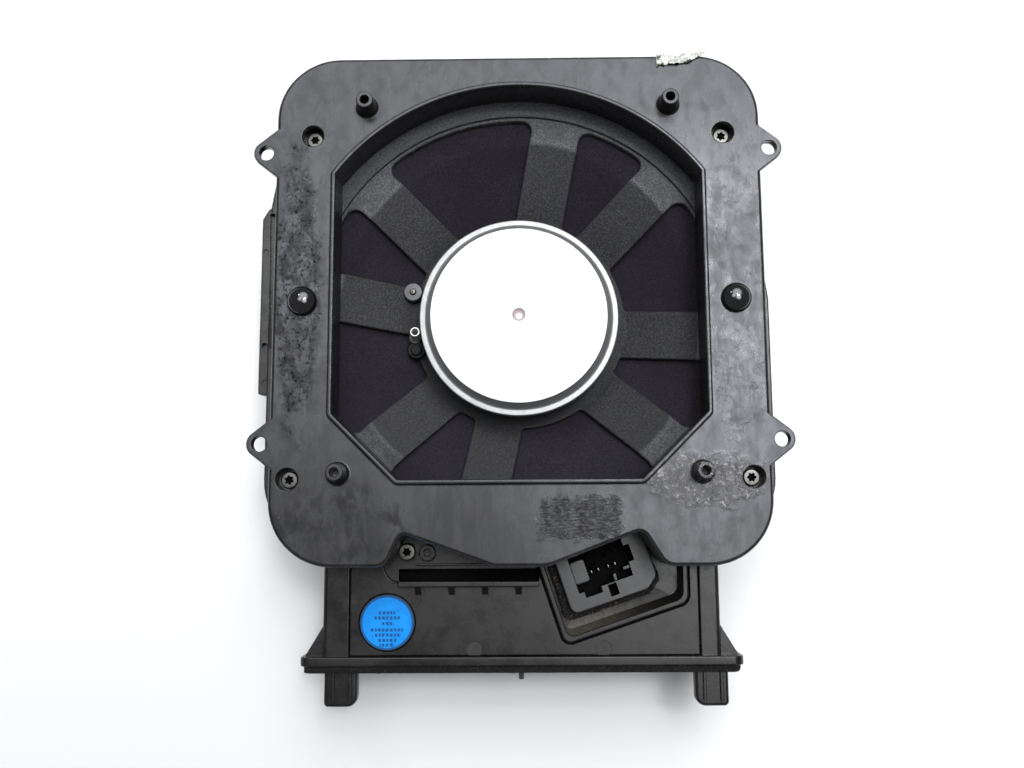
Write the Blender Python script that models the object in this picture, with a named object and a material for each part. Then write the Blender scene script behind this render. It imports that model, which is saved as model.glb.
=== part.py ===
"""Shallow car subwoofer: a driver in a flat two-part enclosure with a duct and a plug socket.

The origin is on the driver's axis at the level the enclosure rests on, +Z towards the magnet
side and -Y towards the duct's mouth. Everything is in metres.
"""
import math

import bmesh
import bpy
from mathutils import Matrix, Vector

# --- driving dimensions -------------------------------------------------------------------
GAP = 0.0003                    # clearance between neighbouring pieces
WALL = 0.0025                   # wall of the mouldings
HALF_WIDTH = 0.115              # enclosure's half-width
TOP_Y = 0.1235                  # far edge of the frame
BOTTOM_Y = -0.1186              # near edge of the frame, on the duct's side
FACE_Z = 0.085                  # frame's face
SPLIT_Z = 0.061                 # where the frame meets the lower housing
CORNER_R = 0.030                # frame's corner radius
EDGE_R = 0.0018                 # rounding of the frame's upper edge

LIP_HEIGHT = 0.002              # raised lip around the opening
LIP_WIDTH = 0.0022
OPEN_R = 0.1081                 # opening's arc, round the driver's axis
OPEN_X = 0.0862                 # opening's straight sides
OPEN_Y = -0.0792                # opening's straight near side
OPEN_CHAMFER = 0.0304           # size of the opening's two cut corners
COLLAR_Z = 0.068                # underside of the opening's wall

POSTS = [(-0.0718, 0.0985), (0.0718, 0.0985), (-0.0830, -0.0762), (0.0830, -0.0762)]
POST_HEIGHT = 0.010
TABS = [(-0.1198, 0.0764), (0.1192, 0.0768), (-0.1194, -0.0625), (0.1198, -0.0617)]
TAB_R = 0.0060
TAB_SLANT = 38                  # degrees that an ear's sides open towards the frame
TAB_HOLE_R = 0.0035
TAB_THICK = 0.0045
WELLS = [(-0.0977, 0.0846), (0.0977, 0.0846), (-0.1063, -0.0788), (0.1063, -0.0788)]
WELL_R = 0.0050
WELL_FLOOR = 0.077              # level of the wells' floors
EARS = [(-0.0800, 0.0840), (0.0800, 0.0840), (-0.0820, -0.0840), (0.0820, -0.0840)]
EAR_R = 0.0048                  # basket's screw ears
BUMPERS = [(-0.101, 0.0041), (0.101, 0.0041)]
BUMPER_R = 0.0070
BUMPER_HEIGHT = 0.0048
BUMPER_STEM_R = 0.0026

TUB_INSET = 0.002               # lower housing's wall inside the frame's edge
RIM_X = (-0.1230, 0.1220)       # sides of the lower housing's rim
RIM_Y = (0.0570, 0.0090)        # where the rim's left and right sides end
RIM_LOW = -0.1080
RAIL_X = -0.1273                # outer side of the left rail

DUCT_X = 0.095                  # duct's half-width
DUCT_TOP = 0.053                # duct's top
DUCT_BOTTOM = 0.006
MOUTH_Y = -0.166                # mouth flange's outer face
FLANGE_THICK = 0.0044
FLANGE_X = 0.1055
FLANGE_Z = (0.002, 0.0555)
MOUTH_X = 0.088                 # clear half-width of the mouth
MOUTH_Z = (0.010, 0.045)
COVER_X = (-0.082, 0.085)
COVER_THICK = 0.0032
LEDGE = 0.003                   # ledge the cover rests on
HORN_X = (-0.0864, 0.0905)      # centres of the two locating horns
HORN_HALF = 0.0080
HORN_Z = (0.043, 0.050)
HORN_LENGTH = 0.0195
GASKET_THICK = 0.0030
PLUG_ANGLE = math.radians(18.5)  # the socket's slant
PLUG_AT = Vector((0.0400, -0.1215))
SOCKET_X = (-0.0215, 0.0230)     # socket's sides in its own slanted axes
SOCKET_Y = (-0.0152, 0.0180)
POCKET_LEFT = -0.0266
POCKET_LOW = -0.0246
POCKET_HIGH = 0.0340
POCKET_RIGHT = 0.0773           # pocket's straight side, in the enclosure's axes
PLUG_TOP = 0.0560
POCKET_FLOOR = 0.0450
POCKET_DRAFT = 0.0025           # slope of the pocket's near wall, from floor to top
KEY_DEPTH = 0.0075              # depth of the plug's keyed well
PIN_X = (-0.0060, -0.0025, 0.0025, 0.0060)
RIB_X = (-0.0585, 0.0087)       # standing rib's ends
RIB_Y = -0.1277
RIB_HALF = 0.0013
RIB_TOP = 0.0580
TROUGH_Z = 0.0470               # trough's floor behind the rib
COVER_BOSSES = [(-0.0540, -0.1124, 0.0575), (-0.0448, -0.1130, 0.0560)]
LABEL_AT = (-0.0640, -0.1458)
LABEL_R = 0.0128

BASKET_TOP = 0.066
BASKET_R = 0.1095
SHEET = 0.003                   # basket's thickness
BEND_R = 0.088                  # where the spokes start to slope down
HUB_R = 0.052
HUB_TOP = 0.048
HUB_HOLE_R = 0.0285
SPOKE_WIDTH = 0.0238
SPOKE_PAIRS = (18.3 - 42.6, 18.3 + 42.6, 198.3 - 42.6, 198.3 + 42.6)
SPOKE_SPREAD = 17.6             # each spoke's angle from its pair's middle
WINDOW_R = (0.0530, 0.0990)
LANDING_R = (0.1005, 0.1050)    # surround's landing ring
LANDING_Z = 0.0520
SPIDER_R = (0.0440, 0.0480)     # spider's landing ring
SPIDER_Z = 0.0415
LUG_BOTTOM = 0.0475             # clear of the cone at its highest
TERMINAL_Z = 0.0525
CLOTH = 0.0006

COIL_R = 0.0252                 # voice coil former's inner radius
FORMER = 0.0005
FORMER_TOP = 0.0570
PLATE_R = 0.0440
PLATE_THICK = 0.0050
MAGNET_R = 0.0450
YOKE_R = 0.0482
YOKE_RING_TOP = 0.0654
YOKE_TOP = 0.0707
PLATEAU_R = 0.0421
STEP_WIDTH = 0.0034             # slope between the plateau and the ring
DIMPLE_R = 0.0033
CONE_EDGE = (0.088, 0.050)      # radius and height of the cone's outer edge
CONE_NECK = (0.0262, 0.025)
CONE_THICK = 0.0012
RUBBER_THICK = 0.0009

HEAD_R = 0.0041                 # screws' heads, shanks and star recesses
SHANK_R = 0.0017
SCREW_R = 0.0019
STAR_R = 0.0023
SCREW_TIP = 0.0500

ROUND = 48                      # segments of the large round pieces
MIDDLE = 36                     # segments of the round pieces that are mostly hidden
SMALL = 12                      # segments of the small round pieces

TERMINAL_WASHER = (-0.0528, 0.0154)
TERMINAL_TUBE = (-0.0517, -0.0079)
TERMINAL_BOSS = (-0.0510, -0.0138)
LUGS = [(TERMINAL_WASHER, 0.0050), (TERMINAL_TUBE, 0.0034), (TERMINAL_BOSS, 0.0042)]
TUBE_LEAN = Vector((0.10, 0.13, 0.0))  # the solder tube's sideways step per unit of height


# --- helpers ------------------------------------------------------------------------------
def material(name, colour, roughness, metallic=0.0):
    """A Principled material, made once for each name."""
    mat = bpy.data.materials.get(name)
    if mat is None:
        mat = bpy.data.materials.new(name)
        mat.use_nodes = True
        shader = mat.node_tree.nodes["Principled BSDF"]
        shader.inputs["Base Color"].default_value = (*colour, 1.0)
        shader.inputs["Roughness"].default_value = roughness
        shader.inputs["Metallic"].default_value = metallic
        mat.diffuse_color = (*colour, 1.0)
    return mat


def finish(name, bm, mat):
    """Turn a bmesh into a named object with outward faces."""
    bmesh.ops.recalc_face_normals(bm, faces=bm.faces)
    mesh = bpy.data.meshes.new(name)
    bm.to_mesh(mesh)
    bm.free()
    obj = bpy.data.objects.new(name, mesh)
    bpy.context.scene.collection.objects.link(obj)
    if mat is not None:
        mesh.materials.append(mat)
    mesh.shade_smooth()
    mesh.set_sharp_from_angle(angle=math.radians(35))
    return obj


def offset(outline, distance):
    """Move a closed anticlockwise outline outwards by a distance."""
    count = len(outline)
    moved = []
    for i, point in enumerate(outline):
        before = (point - outline[i - 1]).normalized()
        after = (outline[(i + 1) % count] - point).normalized()
        normal = Vector((before.y + after.y, -before.x - after.x)).normalized()
        stretch = max(0.5, normal.dot(Vector((after.y, -after.x))))
        moved.append(point + normal * (distance / stretch))
    return moved


def rounded(corners, step=math.radians(22.5)):
    """An outline through corners (x, y, radius), each turned by a fillet arc."""
    count = len(corners)
    points = []
    for i in range(count):
        x, y, radius = corners[i]
        here = Vector((x, y))
        if radius == 0:
            points.append(here)
            continue
        to_last = (Vector(corners[i - 1][:2]) - here).normalized()
        to_next = (Vector(corners[(i + 1) % count][:2]) - here).normalized()
        half = to_last.angle(to_next) / 2
        turn = math.pi - 2 * half
        reach = radius / math.tan(half)
        centre = here + (to_last + to_next).normalized() * (radius / math.sin(half))
        first = here + to_last * reach - centre
        direction = 1 if to_last.cross(to_next) < 0 else -1
        parts = max(1, round(turn / step))
        for k in range(parts + 1):
            angle = direction * turn * k / parts
            points.append(centre + Matrix.Rotation(angle, 2) @ first)
    return points


def box_outline(x0, x1, y0, y1, radius=0.0):
    return rounded([(x0, y0, radius), (x1, y0, radius), (x1, y1, radius), (x0, y1, radius)])


def circle(x, y, radius, sides=SMALL):
    return [Vector((x + radius * math.cos(2 * math.pi * k / sides),
                    y + radius * math.sin(2 * math.pi * k / sides))) for k in range(sides)]


def stack(name, layers, mat=None):
    """A closed solid through outlines of equal point count, each at its own height."""
    bm = bmesh.new()
    rings = []
    for outline, z in layers:
        rings.append([bm.verts.new((p.x, p.y, z)) for p in outline])
    count = len(rings[0])
    for low, high in zip(rings, rings[1:]):
        for i in range(count):
            j = (i + 1) % count
            bm.faces.new((low[i], low[j], high[j], high[i]))
    bm.faces.new(list(reversed(rings[0])))
    bm.faces.new(rings[-1])
    return finish(name, bm, mat)


def prism(name, outline, z0, z1, mat=None):
    return stack(name, [(outline, z0), (outline, z1)], mat)


def lathe(name, profile, mat=None, sides=ROUND, at=(0.0, 0.0)):
    """Turn a closed profile of (radius, height) points about a vertical axis."""
    bm = bmesh.new()
    columns = []
    for radius, z in profile:
        if radius == 0:
            columns.append([bm.verts.new((at[0], at[1], z))])
            continue
        ring = circle(at[0], at[1], radius, sides)
        columns.append([bm.verts.new((p.x, p.y, z)) for p in ring])
    for a, b in zip(columns, columns[1:] + columns[:1]):
        for i in range(sides):
            j = (i + 1) % sides
            quad = [a[i % len(a)], a[j % len(a)], b[j % len(b)], b[i % len(b)]]
            corners = list(dict.fromkeys(quad))
            if len(corners) > 2:
                bm.faces.new(corners)
    return finish(name, bm, mat)


def turned_ring(name, inner, outer, z, height, mat, sides=None):
    """A plain washer shape."""
    top = z + height
    return lathe(name, [(inner, z), (outer, z), (outer, top), (inner, top)], mat, sides or MIDDLE)


def tube(name, points, radius, mat, sides=8):
    """A round wire through the points."""
    bm = bmesh.new()
    points = [Vector(p) for p in points]
    rings = []
    side = Vector((0.0, 0.0, 1.0))
    for i, point in enumerate(points):
        ahead = points[min(i + 1, len(points) - 1)]
        behind = points[max(i - 1, 0)]
        along = (ahead - behind).normalized()
        side = side - along * side.dot(along)
        if side.length < 0.1:
            side = along.orthogonal()
        side.normalize()
        other = along.cross(side)
        ring = []
        for k in range(sides):
            angle = 2 * math.pi * k / sides
            out = side * math.cos(angle) + other * math.sin(angle)
            ring.append(bm.verts.new(point + out * radius))
        rings.append(ring)
    for low, high in zip(rings, rings[1:]):
        for k in range(sides):
            j = (k + 1) % sides
            bm.faces.new((low[k], low[j], high[j], high[k]))
    bm.faces.new(rings[0])
    bm.faces.new(rings[-1])
    return finish(name, bm, mat)


def curve_points(corners, parts=6):
    """Points on a smooth path through the corners (Catmull-Rom)."""
    corners = [Vector(c) for c in corners]
    padded = [corners[0] * 2 - corners[1]] + corners + [corners[-1] * 2 - corners[-2]]
    points = []
    for i in range(1, len(padded) - 2):
        a, b, c, d = padded[i - 1:i + 3]
        for k in range(parts):
            t = k / parts
            points.append(0.5 * (2 * b + (c - a) * t + (2 * a - 5 * b + 4 * c - d) * t * t
                                 + (3 * b - a - 3 * c + d) * t ** 3))
    points.append(corners[-1])
    return points


def boolean(target, tool, operation):
    """Combine a target with a tool that is hidden from the model."""
    modifier = target.modifiers.new(operation.lower(), "BOOLEAN")
    modifier.operation = operation
    modifier.solver = "EXACT"
    modifier.object = tool
    tool.hide_render = True
    tool.display_type = "WIRE"


def cut(target, *tools):
    for tool in tools:
        boolean(target, tool, "DIFFERENCE")


def join(target, *tools):
    for tool in tools:
        boolean(target, tool, "UNION")


# --- outlines -----------------------------------------------------------------------------
def frame_outline():
    """The frame's edge: rounded corners and two notches with a tongue between them."""
    left_notch = [(-0.0612, BOTTOM_Y, 0.007), (-0.0544, -0.1033, 0.004), (-0.0120, BOTTOM_Y, 0.008)]
    right_notch = [(0.0124, BOTTOM_Y, 0.012), (0.0552, -0.1025, 0.004), (0.0655, BOTTOM_Y, 0.008)]
    return rounded([
        (-HALF_WIDTH, TOP_Y, CORNER_R), (-HALF_WIDTH, BOTTOM_Y, CORNER_R), *left_notch, *right_notch,
        (HALF_WIDTH, BOTTOM_Y, CORNER_R), (HALF_WIDTH, TOP_Y, CORNER_R)])


def tab_outline(x, y):
    """An ear: a round tip whose tangent sides open towards the frame."""
    side = math.copysign(1, x)
    reach = 0.009
    slant = math.radians(TAB_SLANT)
    half = TAB_R / math.cos(slant) + reach * math.tan(slant)
    turn = 90 - TAB_SLANT
    tip = [Vector((x + side * TAB_R * math.cos(a), y + side * TAB_R * math.sin(a)))
           for a in [math.radians(d) for d in range(-turn, turn + 1, turn // 4)]]
    root = x - side * reach
    return [Vector((root, y + side * half)), Vector((root, y - side * half))] + tip


def opening_outline():
    """An arc round the driver, straight sides and two cut corners."""
    low = OPEN_Y + OPEN_CHAMFER
    inner = OPEN_X - OPEN_CHAMFER
    points = [Vector((-OPEN_X, low)), Vector((-inner, OPEN_Y)), Vector((inner, OPEN_Y)),
              Vector((OPEN_X, low))]
    start = math.acos(OPEN_X / OPEN_R)
    parts = 18
    for k in range(parts + 1):
        angle = start + (math.pi - 2 * start) * k / parts
        points.append(Vector((OPEN_R * math.cos(angle), OPEN_R * math.sin(angle))))
    return points


def window_outline(first, last):
    """A window between two spokes with parallel edges, given the spokes' angles in degrees."""
    inner, outer = WINDOW_R
    half = SPOKE_WIDTH / 2
    a0 = math.radians(first)
    a1 = math.radians(last)
    points = []
    for radius, fillet, flip in ((outer, 0.0045, False), (inner, 0.0018, True)):
        start = a0 + math.asin(half / radius)
        end = a1 - math.asin(half / radius)
        parts = max(1, round((end - start) / math.radians(9)))
        arc = []
        for k in range(parts + 1):
            angle = start + (end - start) * k / parts
            at_end = k in (0, parts)
            arc.append((radius * math.cos(angle), radius * math.sin(angle), fillet if at_end else 0))
        points += reversed(arc) if flip else arc
    return rounded(points, math.radians(30))


def slanted(points):
    """Turn and move local points to the socket's place."""
    turn = Matrix.Rotation(PLUG_ANGLE, 2)
    return [turn @ Vector(p) + PLUG_AT for p in points]


def slanted_box(x0, x1, y0, y1, radius=0.0):
    return slanted(box_outline(x0, x1, y0, y1, radius))


def pocket_outline(grow, draft=0.0):
    """The cover's pocket for the socket, open towards the frame and drafted on two sides."""
    low = slanted([(POCKET_LEFT - grow, POCKET_LOW - grow + draft)])[0]
    top = slanted([(POCKET_LEFT - grow, POCKET_HIGH)])[0]
    right = POCKET_RIGHT + grow - draft / 2
    low_right = low.y + (right - low.x) * math.tan(PLUG_ANGLE)
    near = [(low.x, low.y, 0.004), (right, low_right, 0.005)]
    return rounded(near + [(right, top.y, 0.001), (top.x, top.y, 0.001)])


# --- enclosure ----------------------------------------------------------------------------
def build_top_frame(plastic):
    outline = frame_outline()
    skirt = SPLIT_Z + GAP
    mid = EDGE_R * (1 - math.cos(math.pi / 4))
    frame = stack("top_frame", [
        (outline, skirt), (outline, FACE_Z - EDGE_R), (offset(outline, -mid), FACE_Z - mid),
        (offset(outline, -EDGE_R), FACE_Z)], plastic)
    cut(frame, prism("frame_hollow", offset(outline, -WALL), skirt - 0.01, FACE_Z - 0.003))
    opening = opening_outline()
    join(frame, prism("collar", offset(opening, LIP_WIDTH), COLLAR_Z, FACE_Z + LIP_HEIGHT))
    for i, at in enumerate(TABS):
        join(frame, prism(f"tab_{i}", tab_outline(*at), FACE_Z - TAB_THICK, FACE_Z))
    for i, (x, y) in enumerate(WELLS):
        join(frame, prism(f"well_wall_{i}", circle(x, y, WELL_R + 0.002), skirt, FACE_Z - 0.001))
    for i, (x, y) in enumerate(EARS):
        boss_z = BASKET_TOP + GAP
        join(frame, prism(f"ear_boss_{i}", circle(x, y, 0.0050, 12), boss_z, FACE_Z - 0.001))
    for i, (x, y) in enumerate(POSTS):
        layers = [(circle(x, y, 0.0048), FACE_Z - 0.001), (circle(x, y, 0.0046), FACE_Z + 0.0006),
                  (circle(x, y, 0.0039), FACE_Z + POST_HEIGHT)]
        join(frame, stack(f"post_{i}", layers))
    cut(frame, prism("opening", opening, skirt - 0.01, FACE_Z + 0.02))
    for i, (x, y) in enumerate(TABS):
        hole = circle(x, y, TAB_HOLE_R)
        cut(frame, prism(f"tab_hole_{i}", hole, FACE_Z - 0.01, FACE_Z + 0.01))
    for i, (x, y) in enumerate(WELLS):
        hole = circle(x, y, SCREW_R + 0.0004)
        cut(frame, prism(f"well_{i}", circle(x, y, WELL_R), WELL_FLOOR, FACE_Z + 0.01))
        cut(frame, prism(f"well_hole_{i}", hole, skirt - 0.01, WELL_FLOOR + 0.001))
    for i, (x, y) in enumerate(POSTS):
        cut(frame, prism(f"post_hole_{i}", circle(x, y, 0.0021), FACE_Z, FACE_Z + 0.02))
    for i, (x, y) in enumerate(EARS):
        cut(frame, prism(f"ear_hole_{i}", circle(x, y, 0.0018, 10), BASKET_TOP - 0.001, 0.0765))
    for i, (x, y) in enumerate(BUMPERS):
        hole = circle(x, y, BUMPER_STEM_R + 0.0004)
        cut(frame, prism(f"bumper_hole_{i}", hole, FACE_Z - 0.01, FACE_Z + 0.01))
    return frame


def flange_outline(inset=0.0):
    """The mouth flange's outline in X and Z."""
    z0, z1 = FLANGE_Z
    return box_outline(-FLANGE_X + inset, FLANGE_X - inset, z0 + inset, z1 - inset, 0.005)


def upright(obj, y):
    """Stand a prism drawn in X and Z up, so that its height runs along -Y from y."""
    obj.matrix_world = Matrix.Translation((0, y, 0)) @ Matrix.Rotation(math.radians(90), 4, "X")
    return obj


def wall_outline(grow=0.0):
    """The tub's outer wall, a little inside the frame's edge."""
    return offset(frame_outline(), grow - TUB_INSET)


def rim_outline():
    """The rim that shows beside the frame, slanted at its far ends."""
    left, right = RIM_X
    left_end, right_end = RIM_Y
    inside = HALF_WIDTH - 0.005
    slant_x = HALF_WIDTH + 0.0035
    slant_y = 0.0265
    return rounded([(-inside, left_end + slant_y, 0), (-slant_x, left_end + slant_y, 0),
                    (left, left_end, 0.004), (left, RIM_LOW, CORNER_R), (right, RIM_LOW, CORNER_R),
                    (right, right_end, 0.004), (slant_x, right_end + slant_y, 0),
                    (inside, right_end + slant_y, 0)])


def build_duct_body():
    """The duct's own walls, open on top where the cover sits."""
    duct_y = (MOUTH_Y + 0.001, -0.095)
    duct = prism("duct_body", box_outline(-DUCT_X, DUCT_X, *duct_y), DUCT_BOTTOM, DUCT_TOP)
    x0, x1 = COVER_X
    seat_y = MOUTH_Y + FLANGE_THICK
    seat_z = DUCT_TOP - COVER_THICK - GAP
    shaft = box_outline(x0 + LEDGE, x1 - LEDGE, seat_y + LEDGE, -0.090)
    cut(duct, prism("duct_top_open", shaft, MOUTH_Z[1] - 0.001, seat_z + 0.001))
    cut(duct, prism("cover_seat", box_outline(x0 - GAP, x1 + GAP, seat_y, -0.090), seat_z,
                    DUCT_TOP + 0.001))
    return duct


def add_mouth(tub):
    """The mouth's flange, its gussets, the two locating horns and a small tab."""
    join(tub, upright(prism("mouth_flange", flange_outline(), 0.0, FLANGE_THICK),
                      MOUTH_Y + FLANGE_THICK))
    root = MOUTH_Y + 0.002
    for i, side in enumerate((-1, 1)):
        gusset = [Vector((side * 0.094, -0.146)), Vector((side * 0.104, -0.1625)),
                  Vector((side * 0.094, -0.1625))]
        for j, z in enumerate((0.012, 0.040)):
            join(tub, prism(f"gusset_{i}_{j}", gusset if side < 0 else gusset[::-1], z, z + 0.004))
        outer = HORN_X[i] + side * HORN_HALF
        inner = HORN_X[i] - side * HORN_HALF
        nose = MOUTH_Y - HORN_LENGTH
        horn = [(outer, root, 0), (outer, nose, 0.001), (inner, nose, 0.005), (inner, root, 0)]
        join(tub, prism(f"horn_{i}", rounded(horn if side < 0 else horn[::-1]), *HORN_Z))
    join(tub, prism("mouth_tab", box_outline(-0.0012, 0.0012, -0.1725, root), 0.047, 0.052))


def build_lower_housing(plastic):
    tub = prism("lower_housing", wall_outline(), 0.0, SPLIT_Z, plastic)
    join(tub, build_duct_body())
    rim = rim_outline()
    rim_shape = prism("tub_rim", rim, SPLIT_Z - 0.004, SPLIT_Z)
    notch_area = box_outline(-0.085, 0.085, -0.120, -0.090)
    cut(rim_shape, prism("rim_gap", notch_area, SPLIT_Z - 0.01, SPLIT_Z + 0.01))
    join(tub, rim_shape)
    rail = rounded([(-0.112, 0.0575, 0), (RAIL_X + 0.0033, 0.0570, 0.001), (RAIL_X, 0.0515, 0.001),
                    (RAIL_X, -0.0362, 0.001), (-0.112, -0.0392, 0)])
    join(tub, prism("side_rail", rail, SPLIT_Z - 0.009, SPLIT_Z - 0.001))
    groove = [Vector((-0.1236, 0.0540)), Vector((-0.1222, -0.0140)), Vector((-0.1190, -0.0140)),
              Vector((-0.1190, 0.0540))]
    cut(tub, prism("rail_groove", groove, SPLIT_Z - 0.003, SPLIT_Z + 0.001))
    add_mouth(tub)
    cut(tub, prism("tub_hollow", wall_outline(-WALL), WALL, SPLIT_Z + 0.01))
    channel = box_outline(-MOUTH_X, MOUTH_X, MOUTH_Y - 0.001, -0.096)
    cut(tub, prism("mouth_channel", channel, *MOUTH_Z))
    for i, (x, y) in enumerate(WELLS):
        post = prism(f"screw_post_{i}", circle(x, y, WELL_R), WALL - 0.001, SPLIT_Z)
        hole = circle(x, y, SCREW_R + GAP)
        cut(post, prism(f"screw_post_hole_{i}", hole, SCREW_TIP, SPLIT_Z + 0.01))
        join(tub, post)
    divider = box_outline(-0.0014, 0.0014, MOUTH_Y + 0.0005, -0.122)
    join(tub, prism("mouth_divider", divider, MOUTH_Z[0] - 0.001, POCKET_FLOOR - 0.0045))
    return tub


def build_duct_cover(plastic):
    """A plate over the duct with the socket's pocket, a trough and a standing rib."""
    x0, x1 = COVER_X
    near = MOUTH_Y + FLANGE_THICK + GAP
    plate = box_outline(x0, x1, near, -0.1000)
    cover = prism("duct_cover", plate, DUCT_TOP - COVER_THICK, DUCT_TOP, plastic)
    inside = DUCT_TOP - 0.001
    rib_x0, rib_x1 = RIB_X
    trough = (RIB_Y + RIB_HALF, RIB_Y + RIB_HALF + 0.0055)
    trough_wall = box_outline(rib_x0 - 0.002, rib_x1 + 0.002, trough[0] - 0.002, trough[1] + 0.0006)
    join(cover, prism("trough_wall", trough_wall, TROUGH_Z - 0.002, inside))
    join(cover, prism("pocket_wall", pocket_outline(0.0022), POCKET_FLOOR - 0.0022, inside))
    join(cover, prism("pocket_rim", pocket_outline(0.0024), inside, DUCT_TOP + 0.0010))
    rib = box_outline(rib_x0, rib_x1, RIB_Y - RIB_HALF, RIB_Y + RIB_HALF)
    join(cover, prism("rib", rib, inside, RIB_TOP))
    for k in range(4):
        x = rib_x0 + 0.0095 + 0.0160 * k
        foot = [Vector((RIB_Y - 0.001, inside)), Vector((RIB_Y - 0.001, RIB_TOP - 0.0006)),
                Vector((RIB_Y - 0.0062, inside))]
        wedge = prism(f"rib_gusset_{k}", foot, 0.0, 0.0028)
        axes = Matrix(((0, 0, 1), (1, 0, 0), (0, 1, 0))).to_4x4()
        wedge.matrix_world = Matrix.Translation((x - 0.0014, 0, 0)) @ axes
        join(cover, wedge)
    for i, (x, y, top) in enumerate(COVER_BOSSES):
        join(cover, prism(f"cover_boss_{i}", circle(x, y, 0.0040), inside, top))
    cut(cover, prism("trough", box_outline(rib_x0, rib_x1, *trough), TROUGH_Z, DUCT_TOP + 0.001))
    cut(cover, stack("pocket", [(pocket_outline(0.0, POCKET_DRAFT), POCKET_FLOOR),
                                (pocket_outline(0.0), DUCT_TOP + 0.0020)]))
    stem_hole = slanted_box(-0.0105, 0.0105, -0.0065, 0.0065)
    cut(cover, prism("stem_hole", stem_hole, 0.040, POCKET_FLOOR + 0.001))
    for i, (x, y, top) in enumerate(COVER_BOSSES):
        hole = circle(x, y, 0.0018, 10)
        cut(cover, prism(f"cover_boss_hole_{i}", hole, DUCT_TOP - 0.002, top + 0.001))
    cut(cover, prism("tub_side", wall_outline(GAP), 0.03, 0.07))
    return cover


def build_mouth_gasket(foam):
    """A foam frame on the mouth flange, notched around the horns and the tab."""
    gasket = prism("mouth_gasket", flange_outline(0.0012), 0.0, GASKET_THICK, foam)
    upright(gasket, MOUTH_Y - GAP)
    back = MOUTH_Y + 0.001
    front = MOUTH_Y - 0.010
    mouth = box_outline(-MOUTH_X, MOUTH_X, front, back)
    cut(gasket, prism("gasket_mouth", mouth, *MOUTH_Z))
    for i, x in enumerate(HORN_X):
        reach = HORN_HALF + GAP
        slot = box_outline(x - reach, x + reach, front, back)
        cut(gasket, prism(f"gasket_slot_{i}", slot, HORN_Z[0] - GAP, HORN_Z[1] + GAP))
    tab = box_outline(-0.0015, 0.0015, front, back)
    cut(gasket, prism("gasket_tab_slot", tab, 0.0467, 0.0523))
    return gasket


# --- plug socket --------------------------------------------------------------------------
def socket_outline(left=0.0, low=0.0, right=0.0):
    """The socket's body, or its seal when its sides are moved outwards."""
    x0 = SOCKET_X[0] - left
    x1 = SOCKET_X[1] + right
    y0 = SOCKET_Y[0] - low
    y1 = SOCKET_Y[1]
    near = [(x0, y0, 0.004), (x1 - 0.006, y0, 0.005), (x1, y0 + 0.005, 0.004)]
    return slanted(rounded(near + [(x1, y1, 0.001), (x0, y1, 0.001)]))


def build_socket(plastic, foam, metal):
    bottom = POCKET_FLOOR + GAP
    socket = prism("connector_housing", socket_outline(), bottom, PLUG_TOP, plastic)
    stem = slanted_box(-0.0100, 0.0100, -0.0060, 0.0060)
    join(socket, prism("stem", stem, 0.0405, bottom + 0.001))
    floor = PLUG_TOP - KEY_DEPTH
    keys = [(-0.0150, 0.0120, -0.0065, 0.0120), (-0.0125, -0.0040, -0.0095, -0.0060),
            (0.0000, 0.0100, -0.0060, 0.0140), (0.0115, 0.0150, 0.0000, 0.0080)]
    for i, (x0, x1, y0, y1) in enumerate(keys):
        cut(socket, prism(f"key_{i}", slanted_box(x0, x1, y0, y1), floor, PLUG_TOP + 0.001))
    latch_slot = slanted_box(-0.0010, 0.0032, -0.0128, -0.0072)
    cut(socket, prism("latch_slot", latch_slot, floor - 0.0015, PLUG_TOP + 0.001))
    cut(socket, prism("tub_side_socket", wall_outline(2 * GAP), 0.03, 0.07))
    for i, x in enumerate(PIN_X):
        pin_hole = slanted_box(x - 0.0009, x + 0.0009, -0.0001, 0.0021)
        cut(socket, prism(f"pin_hole_{i}", pin_hole, 0.040, floor + 0.001))
        pin = slanted_box(x - 0.0006, x + 0.0006, 0.0002, 0.0018)
        prism(f"connector_pin_{i + 1}", pin, 0.0395, PLUG_TOP - 0.0020, metal)
    rim = socket_outline(0.0036, 0.0024, 0.0010)
    seal = prism("connector_seal", rim, bottom, PLUG_TOP - 0.0035, foam)
    cut(seal, prism("seal_inside", socket_outline(GAP, GAP, GAP), bottom - 0.001, PLUG_TOP))
    cut(seal, prism("tub_side_seal", wall_outline(0.0040), 0.03, 0.07))


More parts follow.
